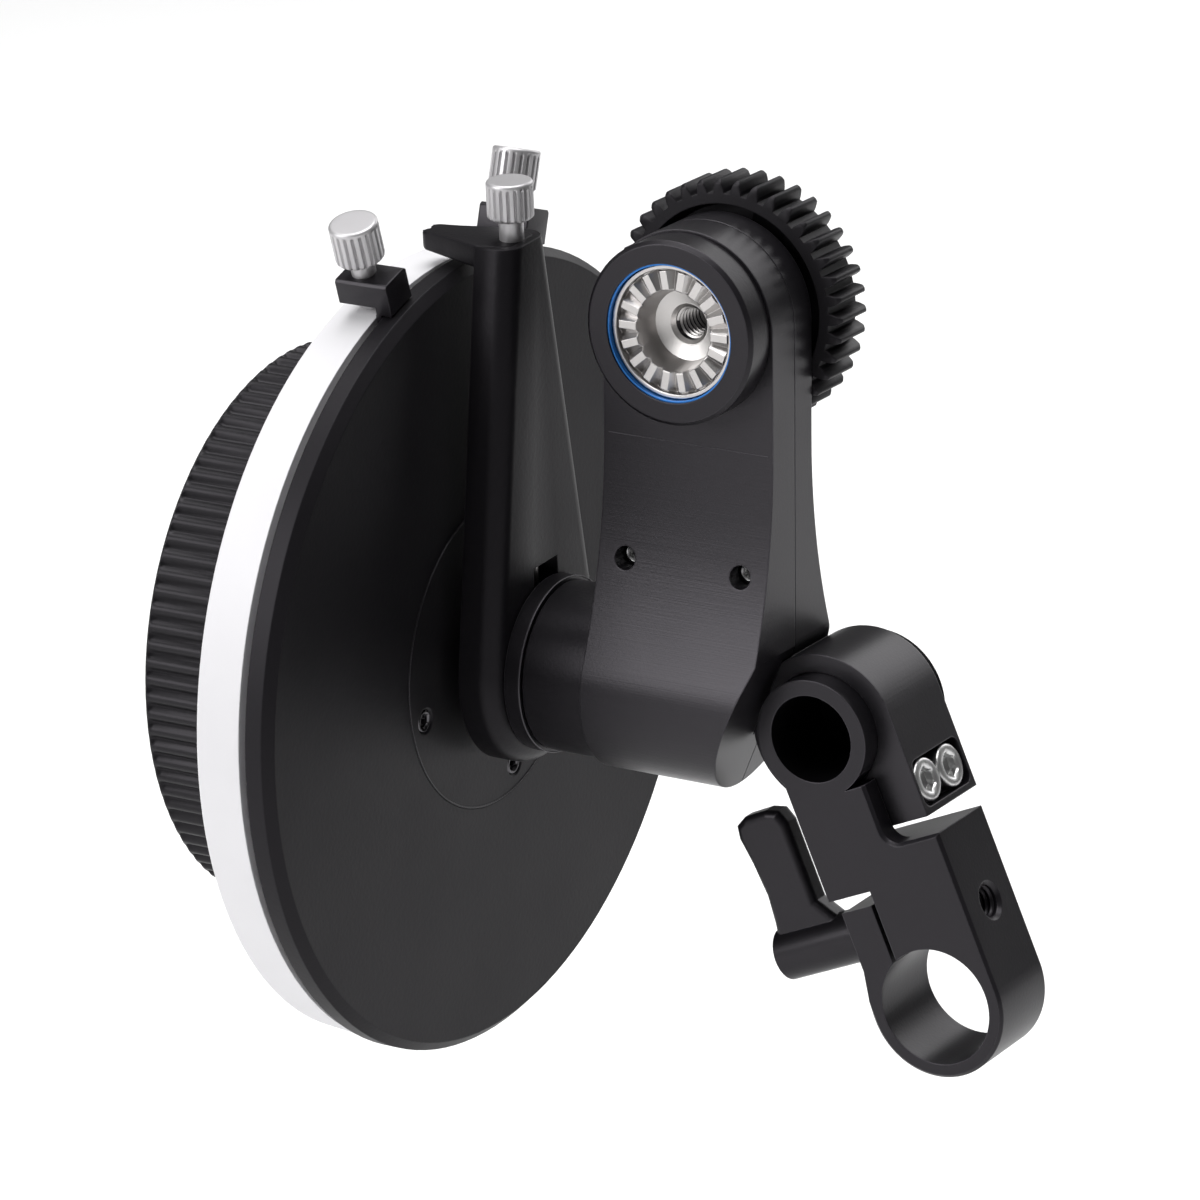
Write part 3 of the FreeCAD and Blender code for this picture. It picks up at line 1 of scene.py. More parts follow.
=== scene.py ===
# %% [markdown]
# # A follow focus unit
#
# The object is a camera tool: a handwheel with hard stops turns a toothed drive gear through an arm, and the arm
# hangs on a clamp for a support rod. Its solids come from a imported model, whose frame has the centre of the rod
# bore at its origin, +X away from the wheel, +Y along the rod and +Z up. This file dresses that model: finishes
# first, then the pieces whose soft shape a plain solid lacks.

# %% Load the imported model
import json
import math

import bmesh
import bpy
from mathutils import Matrix, Vector


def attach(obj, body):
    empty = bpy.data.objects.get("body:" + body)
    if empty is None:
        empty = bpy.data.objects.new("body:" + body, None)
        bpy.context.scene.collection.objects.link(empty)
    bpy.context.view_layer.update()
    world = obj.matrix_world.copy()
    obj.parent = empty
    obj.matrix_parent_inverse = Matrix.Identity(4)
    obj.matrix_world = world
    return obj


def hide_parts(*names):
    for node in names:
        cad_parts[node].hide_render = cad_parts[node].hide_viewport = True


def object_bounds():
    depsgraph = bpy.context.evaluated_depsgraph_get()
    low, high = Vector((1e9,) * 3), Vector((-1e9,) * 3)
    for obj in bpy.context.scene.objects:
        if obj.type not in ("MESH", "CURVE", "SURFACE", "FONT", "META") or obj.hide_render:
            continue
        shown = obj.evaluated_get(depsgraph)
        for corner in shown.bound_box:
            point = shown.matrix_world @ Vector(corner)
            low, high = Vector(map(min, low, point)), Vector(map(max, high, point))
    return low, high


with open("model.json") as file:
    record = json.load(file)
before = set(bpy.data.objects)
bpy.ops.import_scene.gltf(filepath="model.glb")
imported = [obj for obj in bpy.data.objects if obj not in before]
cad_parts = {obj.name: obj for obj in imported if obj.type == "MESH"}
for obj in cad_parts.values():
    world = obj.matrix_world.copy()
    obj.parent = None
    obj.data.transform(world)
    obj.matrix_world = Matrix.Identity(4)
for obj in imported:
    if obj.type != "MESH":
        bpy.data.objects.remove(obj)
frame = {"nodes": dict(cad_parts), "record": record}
cad_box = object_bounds()
nodes = frame["nodes"]

# %% [markdown]
# ## Camera
#
# A long lens from about 0.8 m keeps the wheel's ellipse and the clamp's bore in their right proportions. The view
# comes from the front right and a little above, so the camera's place is worked out from two angles and a distance
# about a target point, and its axes are built by hand to allow a small roll.

# %% Camera
AZIMUTH = math.radians(30.9592)
ELEVATION = math.radians(18.2072)
ROLL = math.radians(-0.7192)
DISTANCE = 0.8
FOCAL_IN_FRAMES = 6477.0 / 1200.0
SIDEWAYS, UPWARDS = -0.0407482, 0.0508071
CLAMP_FACE_Y = -0.006


def camera_axes():
    """Right, up and backward directions of the camera, after its roll."""
    back = Vector((math.sin(AZIMUTH) * math.cos(ELEVATION), -math.cos(AZIMUTH) * math.cos(ELEVATION),
                   math.sin(ELEVATION)))
    right = Vector((math.cos(AZIMUTH), math.sin(AZIMUTH), 0.0))
    up = back.cross(right)
    place = right * SIDEWAYS + up * UPWARDS + back * DISTANCE + Vector((0.0, CLAMP_FACE_Y, 0.0))
    rolled_right = right * math.cos(ROLL) + up * math.sin(ROLL)
    rolled_up = up * math.cos(ROLL) - right * math.sin(ROLL)
    return rolled_right, rolled_up, back, place


def add_camera():
    """Camera whose 36 mm sensor is as wide as the square frame."""
    data = bpy.data.cameras.new("studio_camera")
    data.sensor_width = 36.0
    data.lens = 36.0 * FOCAL_IN_FRAMES
    data.clip_start = 0.05
    camera = bpy.data.objects.new("studio_camera", data)
    bpy.context.scene.collection.objects.link(camera)
    right, up, back, place = camera_axes()
    turn = Matrix((right, up, back)).transposed().to_4x4()
    camera.matrix_world = Matrix.Translation(place) @ turn
    bpy.context.scene.camera = camera
    return camera


camera = add_camera()
print("camera at", [round(value, 4) for value in camera.matrix_world.translation], "lens", round(camera.data.lens, 1))

# %% [markdown]
# ## Shared effects for the finishes
#
# Every finish needs the same three effects: a fine grain for the bump, a slow variation for the roughness, and soft
# edges. A machined part never has knife edges, and the small round on each edge is what catches the light, so
# the edge group gives out a rounded normal as well as a mask. The mask paints edges a paler tone, partly as rubbed
# wear and partly as a painted highlight. Each effect is a node group that gives out masks and normals, so that a
# finish can mix them into its own colour, roughness and bump.


# %% Empty group
def new_group(name, inputs, outputs):
    """Empty shader group with float inputs; an output is a float unless its name is Normal."""
    group = bpy.data.node_groups.new(name, "ShaderNodeTree")
    for label, value in inputs.items():
        socket = group.interface.new_socket(label, in_out="INPUT", socket_type="NodeSocketFloat")
        socket.default_value = value
    for label in outputs:
        kind = "NodeSocketVector" if label == "Normal" else "NodeSocketFloat"
        group.interface.new_socket(label, in_out="OUTPUT", socket_type=kind)
    return group, group.nodes.new("NodeGroupInput"), group.nodes.new("NodeGroupOutput")


# %% Grain
def grain_group():
    """Two sizes of noise in object space: a fine grain and a slow cloud."""
    group, given, result = new_group("surface_grain", {"Scale": 900.0, "Detail": 3.0}, ["Grain", "Cloud"])
    link = group.links.new
    place = group.nodes.new("ShaderNodeTexCoord")
    fine = group.nodes.new("ShaderNodeTexNoise")
    slow = group.nodes.new("ShaderNodeTexNoise")
    slow.inputs["Scale"].default_value = 60.0
    slow.inputs["Detail"].default_value = 4.0
    link(place.outputs["Object"], fine.inputs["Vector"])
    link(place.outputs["Object"], slow.inputs["Vector"])
    link(given.outputs["Scale"], fine.inputs["Scale"])
    link(given.outputs["Detail"], fine.inputs["Detail"])
    link(fine.outputs["Fac"], result.inputs["Grain"])
    link(slow.outputs["Fac"], result.inputs["Cloud"])
    return group


# %% Soft edges, with rubbed wear and a painted highlight
def edge_group():
    """Rounded normal of small radius, and a mask that is 1 where the surface turns sharply, for paler edges of wear and
    painted highlight.
    """
    group, given, result = new_group("edge_wear_and_highlight", {"Radius": 0.0003}, ["Edge", "Normal"])
    link = group.links.new
    bevel = group.nodes.new("ShaderNodeBevel")
    bevel.samples = 6
    plain = group.nodes.new("ShaderNodeNewGeometry")
    facing = group.nodes.new("ShaderNodeVectorMath")
    facing.operation = "DOT_PRODUCT"
    turned_away = group.nodes.new("ShaderNodeMapRange")
    turned_away.inputs["From Min"].default_value = 0.97
    turned_away.inputs["From Max"].default_value = 0.80
    link(given.outputs["Radius"], bevel.inputs["Radius"])
    link(bevel.outputs["Normal"], facing.inputs[0])
    link(plain.outputs["Normal"], facing.inputs[1])
    link(facing.outputs["Value"], turned_away.inputs["Value"])
    link(turned_away.outputs["Result"], result.inputs["Edge"])
    link(bevel.outputs["Normal"], result.inputs["Normal"])
    return group


# %% Tool marks
def lines_group():
    """Fine parallel tool marks: noise that is stretched along two axes by three scales."""
    group, given, result = new_group("tool_marks", {"Along X": 1.0, "Along Y": 1.0, "Along Z": 1.0}, ["Marks"])
    link = group.links.new
    place = group.nodes.new("ShaderNodeTexCoord")
    stretch = group.nodes.new("ShaderNodeVectorMath")
    stretch.operation = "MULTIPLY"
    scales = group.nodes.new("ShaderNodeCombineXYZ")
    noise = group.nodes.new("ShaderNodeTexNoise")
    noise.inputs["Scale"].default_value = 1.0
    noise.inputs["Detail"].default_value = 2.0
    for axis in "XYZ":
        link(given.outputs["Along " + axis], scales.inputs[axis])
    link(place.outputs["Object"], stretch.inputs[0])
    link(scales.outputs["Vector"], stretch.inputs[1])
    link(stretch.outputs["Vector"], noise.inputs["Vector"])
    link(noise.outputs["Fac"], result.inputs["Marks"])
    return group


GRAIN = grain_group()
EDGE = edge_group()
LINES = lines_group()
print("groups:", GRAIN.name, EDGE.name, LINES.name)

# %% [markdown]
# ## Finishes
#
# Black anodised aluminium is nearly black with a soft sheen that comes from a fine bead-blasted grain, and its edges
# are painted a paler tone: partly rubbed wear, partly a painted highlight where an edge catches the light. Moulded
# plastic is duller and has no pale edges. The steel parts are turned and lightly tumbled, so they are bright but not
# mirrors. One function builds all of these from a few values, and a table names each finish. What is the same all over
# a surface, such as the specular level, is set on the shader itself.


# %% Small shader helpers
def add_group(tree, group, values):
    """Group node with some of its inputs set."""
    node = tree.nodes.new("ShaderNodeGroup")
    node.node_tree = group
    for label, value in values.items():
        node.inputs[label].default_value = value
    return node


def mixed_colour(tree, mask, first, second):
    """Colour that runs from the first to the second with a mask."""
    mix = tree.nodes.new("ShaderNodeMix")
    mix.data_type = "RGBA"
    mix.inputs["A"].default_value = (*first, 1.0)
    mix.inputs["B"].default_value = (*second, 1.0)
    tree.links.new(mask, mix.inputs["Factor"])
    return mix.outputs["Result"]


def ranged(tree, value, low, high):
    """Value from 0..1 moved to low..high."""
    node = tree.nodes.new("ShaderNodeMapRange")
    node.inputs["To Min"].default_value = low
    node.inputs["To Max"].default_value = high
    tree.links.new(value, node.inputs["Value"])
    return node.outputs["Result"]


def wear_and_highlight_colour(tree, colour, edge, cloud, wear_and_highlight):
    """Colour that turns paler on edges, in patches: partly rubbed wear, partly a painted edge highlight."""
    patchy = tree.nodes.new("ShaderNodeMath")
    patchy.operation = "MULTIPLY"
    patchy.use_clamp = True
    tree.links.new(edge.outputs["Edge"], patchy.inputs[0])
    tree.links.new(ranged(tree, cloud, -0.35, 1.0), patchy.inputs[1])
    blend = tree.nodes.new("ShaderNodeMix")
    blend.data_type = "RGBA"
    blend.inputs["B"].default_value = (*wear_and_highlight, 1.0)
    tree.links.new(patchy.outputs["Value"], blend.inputs["Factor"])
    tree.links.new(colour, blend.inputs["A"])
    return blend.outputs["Result"]


# %% Finish builder
def finish(name, dark, light, rough, wear_and_highlight=None, metallic=0.0, grain=900.0, bump=0.1, specular=0.5, edge=0.00025,
           marks=None, mark_bump=0.0):
    """Procedural finish: colour and roughness drift with a slow noise, a fine grain bumps, edges are softened and
    painted paler as wear and highlight.
    """
    material = bpy.data.materials.new(name)
    material.use_nodes = True
    tree = material.node_tree
    shader = tree.nodes["Principled BSDF"]
    shader.inputs["Metallic"].default_value = metallic
    shader.inputs["Specular IOR Level"].default_value = specular
    if metallic == 0.0:
        shader.inputs["Specular Tint"].default_value = (0.97, 0.92, 1.0, 1.0)
    texture = add_group(tree, GRAIN, {"Scale": grain})
    rounded = add_group(tree, EDGE, {"Radius": edge})
    colour = mixed_colour(tree, texture.outputs["Cloud"], dark, light)
    # Paler edges: partly rubbed wear, partly a painted highlight where an edge catches the light.
    if wear_and_highlight:
        colour = wear_and_highlight_colour(tree, colour, rounded, texture.outputs["Cloud"], wear_and_highlight)
    tree.links.new(colour, shader.inputs["Base Color"])
    tree.links.new(ranged(tree, texture.outputs["Cloud"], *rough), shader.inputs["Roughness"])
    normal = rounded.outputs["Normal"]
    if marks:
        lines = add_group(tree, LINES, dict(zip(("Along X", "Along Y", "Along Z"), marks)))
        scored = tree.nodes.new("ShaderNodeBump")
        scored.inputs["Strength"].default_value = mark_bump
        scored.inputs["Distance"].default_value = 0.00004
        tree.links.new(lines.outputs["Marks"], scored.inputs["Height"])
        tree.links.new(normal, scored.inputs["Normal"])
        normal = scored.outputs["Normal"]
    relief = tree.nodes.new("ShaderNodeBump")
    relief.inputs["Strength"].default_value = bump
    relief.inputs["Distance"].default_value = 0.00008
    tree.links.new(texture.outputs["Grain"], relief.inputs["Height"])
    tree.links.new(normal, relief.inputs["Normal"])
    tree.links.new(relief.outputs["Normal"], shader.inputs["Normal"])
    return material


# %% The finishes of this object
# The pale edge colours given below are partly rubbed wear and partly a painted edge highlight.
FINISHES = {
    "black_anodised": finish("black_anodised", (0.0044, 0.0040, 0.0050), (0.0082, 0.0075, 0.0090), rough=(0.29, 0.40),
                             wear_and_highlight=(0.15, 0.14, 0.16), grain=2600.0, bump=0.18, specular=0.29),
    "black_cover": finish("black_cover", (0.0050, 0.0046, 0.0056), (0.0090, 0.0083, 0.0098), rough=(0.30, 0.40),
                          wear_and_highlight=(0.12, 0.112, 0.128), grain=2600.0, bump=0.15, specular=0.36,
                          marks=(60.0, 60.0, 9000.0), mark_bump=0.30),
    "black_disc": finish("black_disc", (0.0040, 0.0037, 0.0045), (0.0076, 0.0070, 0.0083), rough=(0.42, 0.54),
                         wear_and_highlight=(0.05, 0.047, 0.053), grain=1800.0, bump=0.25, specular=0.16),
    "black_cast": finish("black_cast", (0.0036, 0.0033, 0.0040), (0.0068, 0.0062, 0.0075), rough=(0.36, 0.46),
                         wear_and_highlight=(0.06, 0.056, 0.064), grain=1700.0, bump=0.28, specular=0.16, edge=0.0003),
    # Pale edge finish for the chamfers of the split and the bezel and for the tube's lip: partly rubbed wear, partly a
    # painted highlight line.
    "rubbed_edge_and_highlight": finish("rubbed_edge_and_highlight", (0.006, 0.0056, 0.0066), (0.11, 0.104, 0.116), rough=(0.3, 0.4),
                          grain=2600.0, bump=0.1, specular=0.4, edge=0.00003),
    "black_nylon": finish("black_nylon", (0.0050, 0.0047, 0.0055), (0.0085, 0.0080, 0.0092), rough=(0.40, 0.52),
                          grain=1400.0, bump=0.2, specular=0.19, edge=0.0002),
    "ribbed_rubber": finish("ribbed_rubber", (0.0036, 0.0035, 0.0040), (0.0070, 0.0067, 0.0075), rough=(0.36, 0.48),
                            grain=1600.0, bump=0.3, specular=0.21),
    "white_writable": finish("white_writable", (0.56, 0.555, 0.57), (0.62, 0.615, 0.63), rough=(0.45, 0.6),
                             grain=1500.0, bump=0.1, specular=0.3),
    "stainless": finish("stainless", (0.40, 0.385, 0.38), (0.50, 0.485, 0.475), rough=(0.26, 0.38), metallic=1.0,
                        grain=2200.0, bump=0.15, edge=0.0001),
    "thumb_steel": finish("thumb_steel", (0.40, 0.392, 0.402), (0.50, 0.49, 0.502), rough=(0.36, 0.48), metallic=0.68,
                          grain=2600.0, bump=0.2, edge=0.00008),
    "screw_steel": finish("screw_steel", (0.52, 0.52, 0.52), (0.66, 0.66, 0.66), rough=(0.28, 0.40), metallic=1.0,
                          grain=2200.0, bump=0.15, edge=0.0001),
    # Dark steel: the real black-oxide colour of the hub screws, and painted shade on the wall of the port's threaded
    # hole.
    "dark_steel_and_hole_shade": finish("dark_steel_and_hole_shade", (0.06, 0.058, 0.062), (0.14, 0.135, 0.145), rough=(0.22, 0.34), metallic=1.0,
                         grain=2200.0, bump=0.15, edge=0.00005),
    # Painted shade: a near-black finish with almost no sheen for the inside of the spigot's bore and its plug, where
    # shade falls.
    "painted_shade_bore": finish("painted_shade_bore", (0.0015, 0.0014, 0.0017), (0.0030, 0.0028, 0.0033), rough=(0.5, 0.6),
                         grain=1500.0, bump=0.2, specular=0.04),
    "blue_anodised": finish("blue_anodised", (0.015, 0.12, 0.38), (0.025, 0.16, 0.48), rough=(0.25, 0.35),
                            metallic=0.6, grain=2200.0, bump=0.1, edge=0.0001),
    "bronze": finish("bronze", (0.42, 0.28, 0.12), (0.55, 0.38, 0.18), rough=(0.3, 0.45), metallic=1.0,
                     grain=1500.0, bump=0.2, edge=0.0001),
}
# Nodes whose finish isn't the one of their slot; the spigot's plug gets the painted shade of the bore.
SPECIAL = {"wheel_disc": "black_disc", "hub_plate": "black_disc", "hand_grip": "ribbed_rubber",
           "marking_ring": "white_writable", "front_cover": "black_cover", "rear_housing": "black_cover",
           "spigot_plug": "painted_shade_bore"}
print("finishes:", len(FINISHES))


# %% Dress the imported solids
def dress_nodes():
    """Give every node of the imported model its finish, by its slot in the record."""
    slots = {part["node"]: part["material_slot"] for part in frame["record"]["subparts"]}
    for name, node in nodes.items():
        node.data.materials.clear()
        node.data.materials.append(FINISHES[SPECIAL.get(name, slots[name])])
    return len(nodes)


print("dressed nodes:", dress_nodes())


# %% Faces with a finish of their own
def face_finish(name, finish_name, chosen):
    """Give the faces of one node for which the test holds a second finish; the test gets centre and normal."""
    node = nodes[name]
    node.data.materials.append(FINISHES[finish_name])
    count = 0
    for face in node.data.polygons:
        centre = node.matrix_world @ face.center
        normal = (node.matrix_world.to_3x3() @ face.normal).normalized()
        if chosen(centre, normal):
            face.material_index = 1
            count += 1
    return count


def broken_edge(low, high):
    """Test for the slanting faces between two depths along Y."""
    return lambda centre, normal: low < centre.y < high and 0.3 < abs(normal.y) < 0.95


def in_spigot(centre, normal):
    """Wall of the spigot's bore."""
    reach = math.hypot(centre.x - SPIGOT_AXIS[0], centre.z - SPIGOT_AXIS[1])
    return reach < SPIGOT_WALL and abs(normal.y) < 0.7


SPIGOT_AXIS, SPIGOT_WALL = (-0.0174491, 0.032105), 0.0058
COVER_EDGE, BEZEL_EDGE = (-0.00056, -0.00040), (-0.00606, -0.00590)
# The chamfers at the cover's split and at the bezel's edge get the pale finish: partly rubbed wear, partly a painted
# highlight.
print("broken edge of the cover:", face_finish("front_cover", "rubbed_edge_and_highlight", broken_edge(*COVER_EDGE)))
print("broken edge of the bezel:", face_finish("front_bezel", "rubbed_edge_and_highlight", broken_edge(*BEZEL_EDGE)))
# The bore's wall gets the painted-shade finish.
print("bore of the spigot:", face_finish("rod_clamp", "painted_shade_bore", in_spigot))

# %% [markdown]
# ## Softened moulded and machined pieces
#
# The index arm is cast and blasted, the stops are tumbled and the gear is moulded, so none of them has a crisp edge
# in the real object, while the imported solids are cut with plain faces. Each of these pieces starts from a copy of its
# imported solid: coplanar facets are joined first, then every sharp convex edge gets a real round by the bevel
# operator. A copy is used instead of a new model so that the holes and seats stay exactly where they fit.


# %% From a bmesh to a piece
FLAT_ENOUGH = 1e-7


def piece_from(mesh, name, body, replaced, material, smooth_angle=40.0):
    """Object made of a finished bmesh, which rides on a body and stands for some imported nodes."""
    bmesh.ops.dissolve_degenerate(mesh, dist=FLAT_ENOUGH, edges=mesh.edges)
    bmesh.ops.recalc_face_normals(mesh, faces=mesh.faces)
    if mesh.calc_volume(signed=True) < 0.0:
        bmesh.ops.reverse_faces(mesh, faces=mesh.faces)
    data = bpy.data.meshes.new(name)
    mesh.to_mesh(data)
    mesh.free()
    data.materials.append(material)
    for face in data.polygons:
        face.use_smooth = True
    data.set_sharp_from_angle(angle=math.radians(smooth_angle))
    piece = bpy.data.objects.new(name, data)
    bpy.context.scene.collection.objects.link(piece)
    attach(piece, body)
    if replaced:
        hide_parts(*replaced)
    return piece


# %% Softening tools
def merged_copy(node_name):
    """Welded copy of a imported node's mesh in the row frame, with its coplanar facets joined."""
    source = nodes[node_name]
    mesh = bmesh.new()
    mesh.from_mesh(source.data)
    mesh.transform(source.matrix_world)
    bmesh.ops.remove_doubles(mesh, verts=mesh.verts, dist=1e-6)
    bmesh.ops.dissolve_limit(mesh, angle_limit=math.radians(1.0), verts=mesh.verts, edges=mesh.edges)
    return mesh


def round_edges(mesh, width, chosen, segments=3):
    """Round the sharp convex edges for which the test holds."""
    sharp = [edge for edge in mesh.edges if edge.is_manifold and edge.is_convex
             and edge.calc_face_angle(0.0) > math.radians(30.0) and chosen(edge)]
    bmesh.ops.bevel(mesh, geom=sharp, offset=width, offset_type="OFFSET", segments=segments, profile=0.5,
                    affect="EDGES", clamp_overlap=True, material=-1)
    return len(sharp)


def long_edge(length):
    """Test for edges of at least this length."""
    return lambda edge: edge.calc_length() >= length


# %% Stops
STOP_ROUND = 0.00030


def soften_stops():
    """Stops: rounded blocks of black anodised metal."""
    for letter in "ab":
        mesh = merged_copy("stop_" + letter)
        count = round_edges(mesh, STOP_ROUND, long_edge(0.0010))
        piece_from(mesh, "soft_stop_" + letter, "stop_" + letter, ["stop_" + letter],
                   FINISHES["black_anodised"])
        print("stop", letter, "edges rounded:", count)


soften_stops()

# %% Gear
DRIVE_AXIS = (-0.0346991, 0.082805)
TOOTH_ROOT, TOOTH_ROUND = 0.0142, 0.00016


def soften_gear():
    """Gear: the teeth keep their flanks, and their ends and lands are rounded as a mould leaves them."""
    mesh = merged_copy("drive_gear")

    def on_teeth(edge):
        """Edge that lies outside the root circle."""
        return all(math.hypot(vertex.co.x - DRIVE_AXIS[0], vertex.co.z - DRIVE_AXIS[1]) > TOOTH_ROOT + 0.0003
                   for vertex in edge.verts)
    count = round_edges(mesh, TOOTH_ROUND, on_teeth, segments=2)
    piece_from(mesh, "moulded_gear", "drive", ["drive_gear"], FINISHES["black_nylon"])
    print("gear edges rounded:", count)


soften_gear()

# %% Index arm
WHEEL_AXIS = (-0.00105, 0.034205)
INDEX_TOP, INDEX_LEAN = 0.0558, 3.2
INDEX_TOP_ROUND, INDEX_SIDE_ROUND = 0.00090, 0.00030
POINTER_ROOT = -0.0634


def soften_index_arm():
    """Index arm: a large radius round its top and a small one on its long edges."""
    mesh = merged_copy("index_arm")
    lean = math.radians(INDEX_LEAN)

    def height(vertex):
        """Height above the axle along the leaning arm."""
        return (vertex.co.z - WHEEL_AXIS[1]) * math.cos(lean) - (vertex.co.y - WHEEL_AXIS[0]) * math.sin(lean)

    def at_top(edge):
        """Edge of the flat top, apart from the pointer's."""
        return all(height(vertex) > INDEX_TOP - 0.00005 and vertex.co.x > POINTER_ROOT for vertex in edge.verts)

    def long_side(edge):
        """Long edge below the top."""
        return edge.calc_length() > 0.0012 and not any(height(vertex) > INDEX_TOP - 0.0012 for vertex in edge.verts)
    count = round_edges(mesh, INDEX_TOP_ROUND, at_top, segments=4)
    count += round_edges(mesh, INDEX_SIDE_ROUND, long_side)
    piece_from(mesh, "cast_index_arm", "index", ["index_arm"], FINISHES["black_cast"])
    print("index arm edges rounded:", count)


soften_index_arm()

# %% [markdown]
# ## Pointer
#
# The pointer grows out of the top of the index arm towards the white ring, and its root covers the arm's top like a
# hood. It is flat on top, thinner at the tip and rounded all round, and a nick in the tip marks the reading edge. One
# outline seen from above is extruded down to a sloping underside, and then every edge is rounded.
#
# The same small tools make the other new pieces: a ring of vertices that starts from a circle, rings extruded from
# it one after the other and moved to their places, and a fill at both ends or a bridge from the last ring to the
# first.


# %% Rings of vertices
def first_ring(mesh, places):
    """Closed ring of vertices at the given places."""
    ring = bmesh.ops.create_circle(mesh, cap_ends=False, radius=0.001, segments=len(places))["verts"]
    for vertex, place in zip(ring, places):
        vertex.co = place
    return ring


def ring_edges(mesh, ring):
    """Edges of a ring, in its order."""
    return [mesh.edges.get((vertex, after)) for vertex, after in zip(ring, ring[1:] + ring[:1])]


def next_ring(mesh, ring, places):
    """Ring extruded from another one and moved to its places, in the same order."""
    grown = bmesh.ops.extrude_edge_only(mesh, edges=ring_edges(mesh, ring))["geom"]
    fresh = {item for item in grown if isinstance(item, bmesh.types.BMVert)}
    ring = [next(edge.other_vert(vertex) for edge in vertex.link_edges if edge.other_vert(vertex) in fresh)
            for vertex in ring]
    for vertex, place in zip(ring, places):
        vertex.co = place
    return ring


def skin(mesh, rows, hollow=False):
    """Closed surface through rows of places; a hollow one runs from its last row back to its first."""
    first = ring = first_ring(mesh, rows[0])
    for places in rows[1:]:
        ring = next_ring(mesh, ring, places)
    if hollow:
        bmesh.ops.bridge_loops(mesh, edges=ring_edges(mesh, first) + ring_edges(mesh, ring))
        return
    for end in (first, ring):
        bmesh.ops.edgeloop_fill(mesh, edges=ring_edges(mesh, end))


# %% Pointer blade
def leaning(mesh, lean):
    """Move a mesh made upright about the wheel's axle to its lean and place."""
    mesh.transform(Matrix.Translation((0.0, *WHEEL_AXIS)) @ Matrix.Rotation(math.radians(lean), 4, "X"))


def pointer_blade():
    """Blade with a nicked tip; its underside slopes from the root to the tip."""
    mesh = bmesh.new()
    side = [(HOOD_END, 0.0026, 0.0006), (HOOD_END - 0.0009, 0.0034, 0.0007), (-0.0622, 0.0040, 0.0010),
            (POINTER_ROOT, 0.0043, 0.0030), (-0.0690, 0.0026, 0.0027), (-0.0724, 0.0019, 0.0024),
            (POINTER_TIP, 0.0014, 0.0023), (POINTER_TIP, 0.0006, 0.0023)]
    outline = side + [(POINTER_TIP + 0.0004, 0.0, 0.0023)] + [(x, -half, deep) for x, half, deep in reversed(side)]
    skin(mesh, [[(x, y, INDEX_TOP + BLADE_RISE) for x, y, deep in outline],
                [(x, y, INDEX_TOP - deep) for x, y, deep in outline]])
    bmesh.ops.recalc_face_normals(mesh, faces=mesh.faces)
    bmesh.ops.bevel(mesh, geom=mesh.edges[:], offset=BLADE_ROUND, offset_type="OFFSET", segments=3, profile=0.5,
                    affect="EDGES", clamp_overlap=True, material=-1)
    leaning(mesh, INDEX_LEAN)
    return piece_from(mesh, "pointer_blade", "index", [], FINISHES["black_cast"])


HOOD_END, POINTER_TIP = -0.0590, -0.0730
BLADE_RISE, BLADE_ROUND = 0.00004, 0.00040
pointer_blade()
print("pointer made")

# %% [markdown]
# ## Knurled screws
#
# The three thumb screws are turned from bar. Their heads carry broad ribs with narrow grooves between them; the
# grooves run out below a plain rim, and the top edge is broken. A lathe profile alone can't make the ribs, so each
# head is a stack of rings whose radius dips at every groove: each ring says how deep the grooves are at that height.


# %% Lathe with ribs
def lathe(mesh, rings, around, radius_at, hollow=False):
    """Turned surface through rings along Z, each (height, radius, share of the relief)."""
    turns = [2.0 * math.pi * step / around for step in range(around)]
    rows = []
    for height, radius, share in rings:
        reaches = [radius_at(angle, radius, share) for angle in turns]
        rows.append([(reach * math.cos(angle), reach * math.sin(angle), height)
                     for angle, reach in zip(turns, reaches)])
    skin(mesh, rows, hollow)


def ribbed(count, depth):
    """Radius rule for broad ribs with narrow round-bottomed grooves."""
    def rule(angle, radius, share):
        phase = (angle * count / (2.0 * math.pi)) % 1.0
        groove = max(0.0, 1.0 - abs(phase - 0.5) / 0.24) ** 0.6
        return radius - depth * share * groove
    return rule


def hexagonal(angle, radius, share):
    """Radius rule that blends a circle into a hexagon of the same flat-to-flat half width."""
    turn = (angle + math.pi / 6.0) % (math.pi / 3.0) - math.pi / 6.0
    return radius * (1.0 + share * (1.0 / math.cos(turn) - 1.0))


def aimed(mesh, place, direction):
    """Turn a mesh made along Z to a direction and move it to its place."""
    turn = Vector(direction).to_track_quat("Z", "Y").to_matrix().to_4x4()
    mesh.transform(Matrix.Translation(Vector(place)) @ turn)


# %% Thumb screws
RIBS, RIB_DEPTH = 20, 0.00034


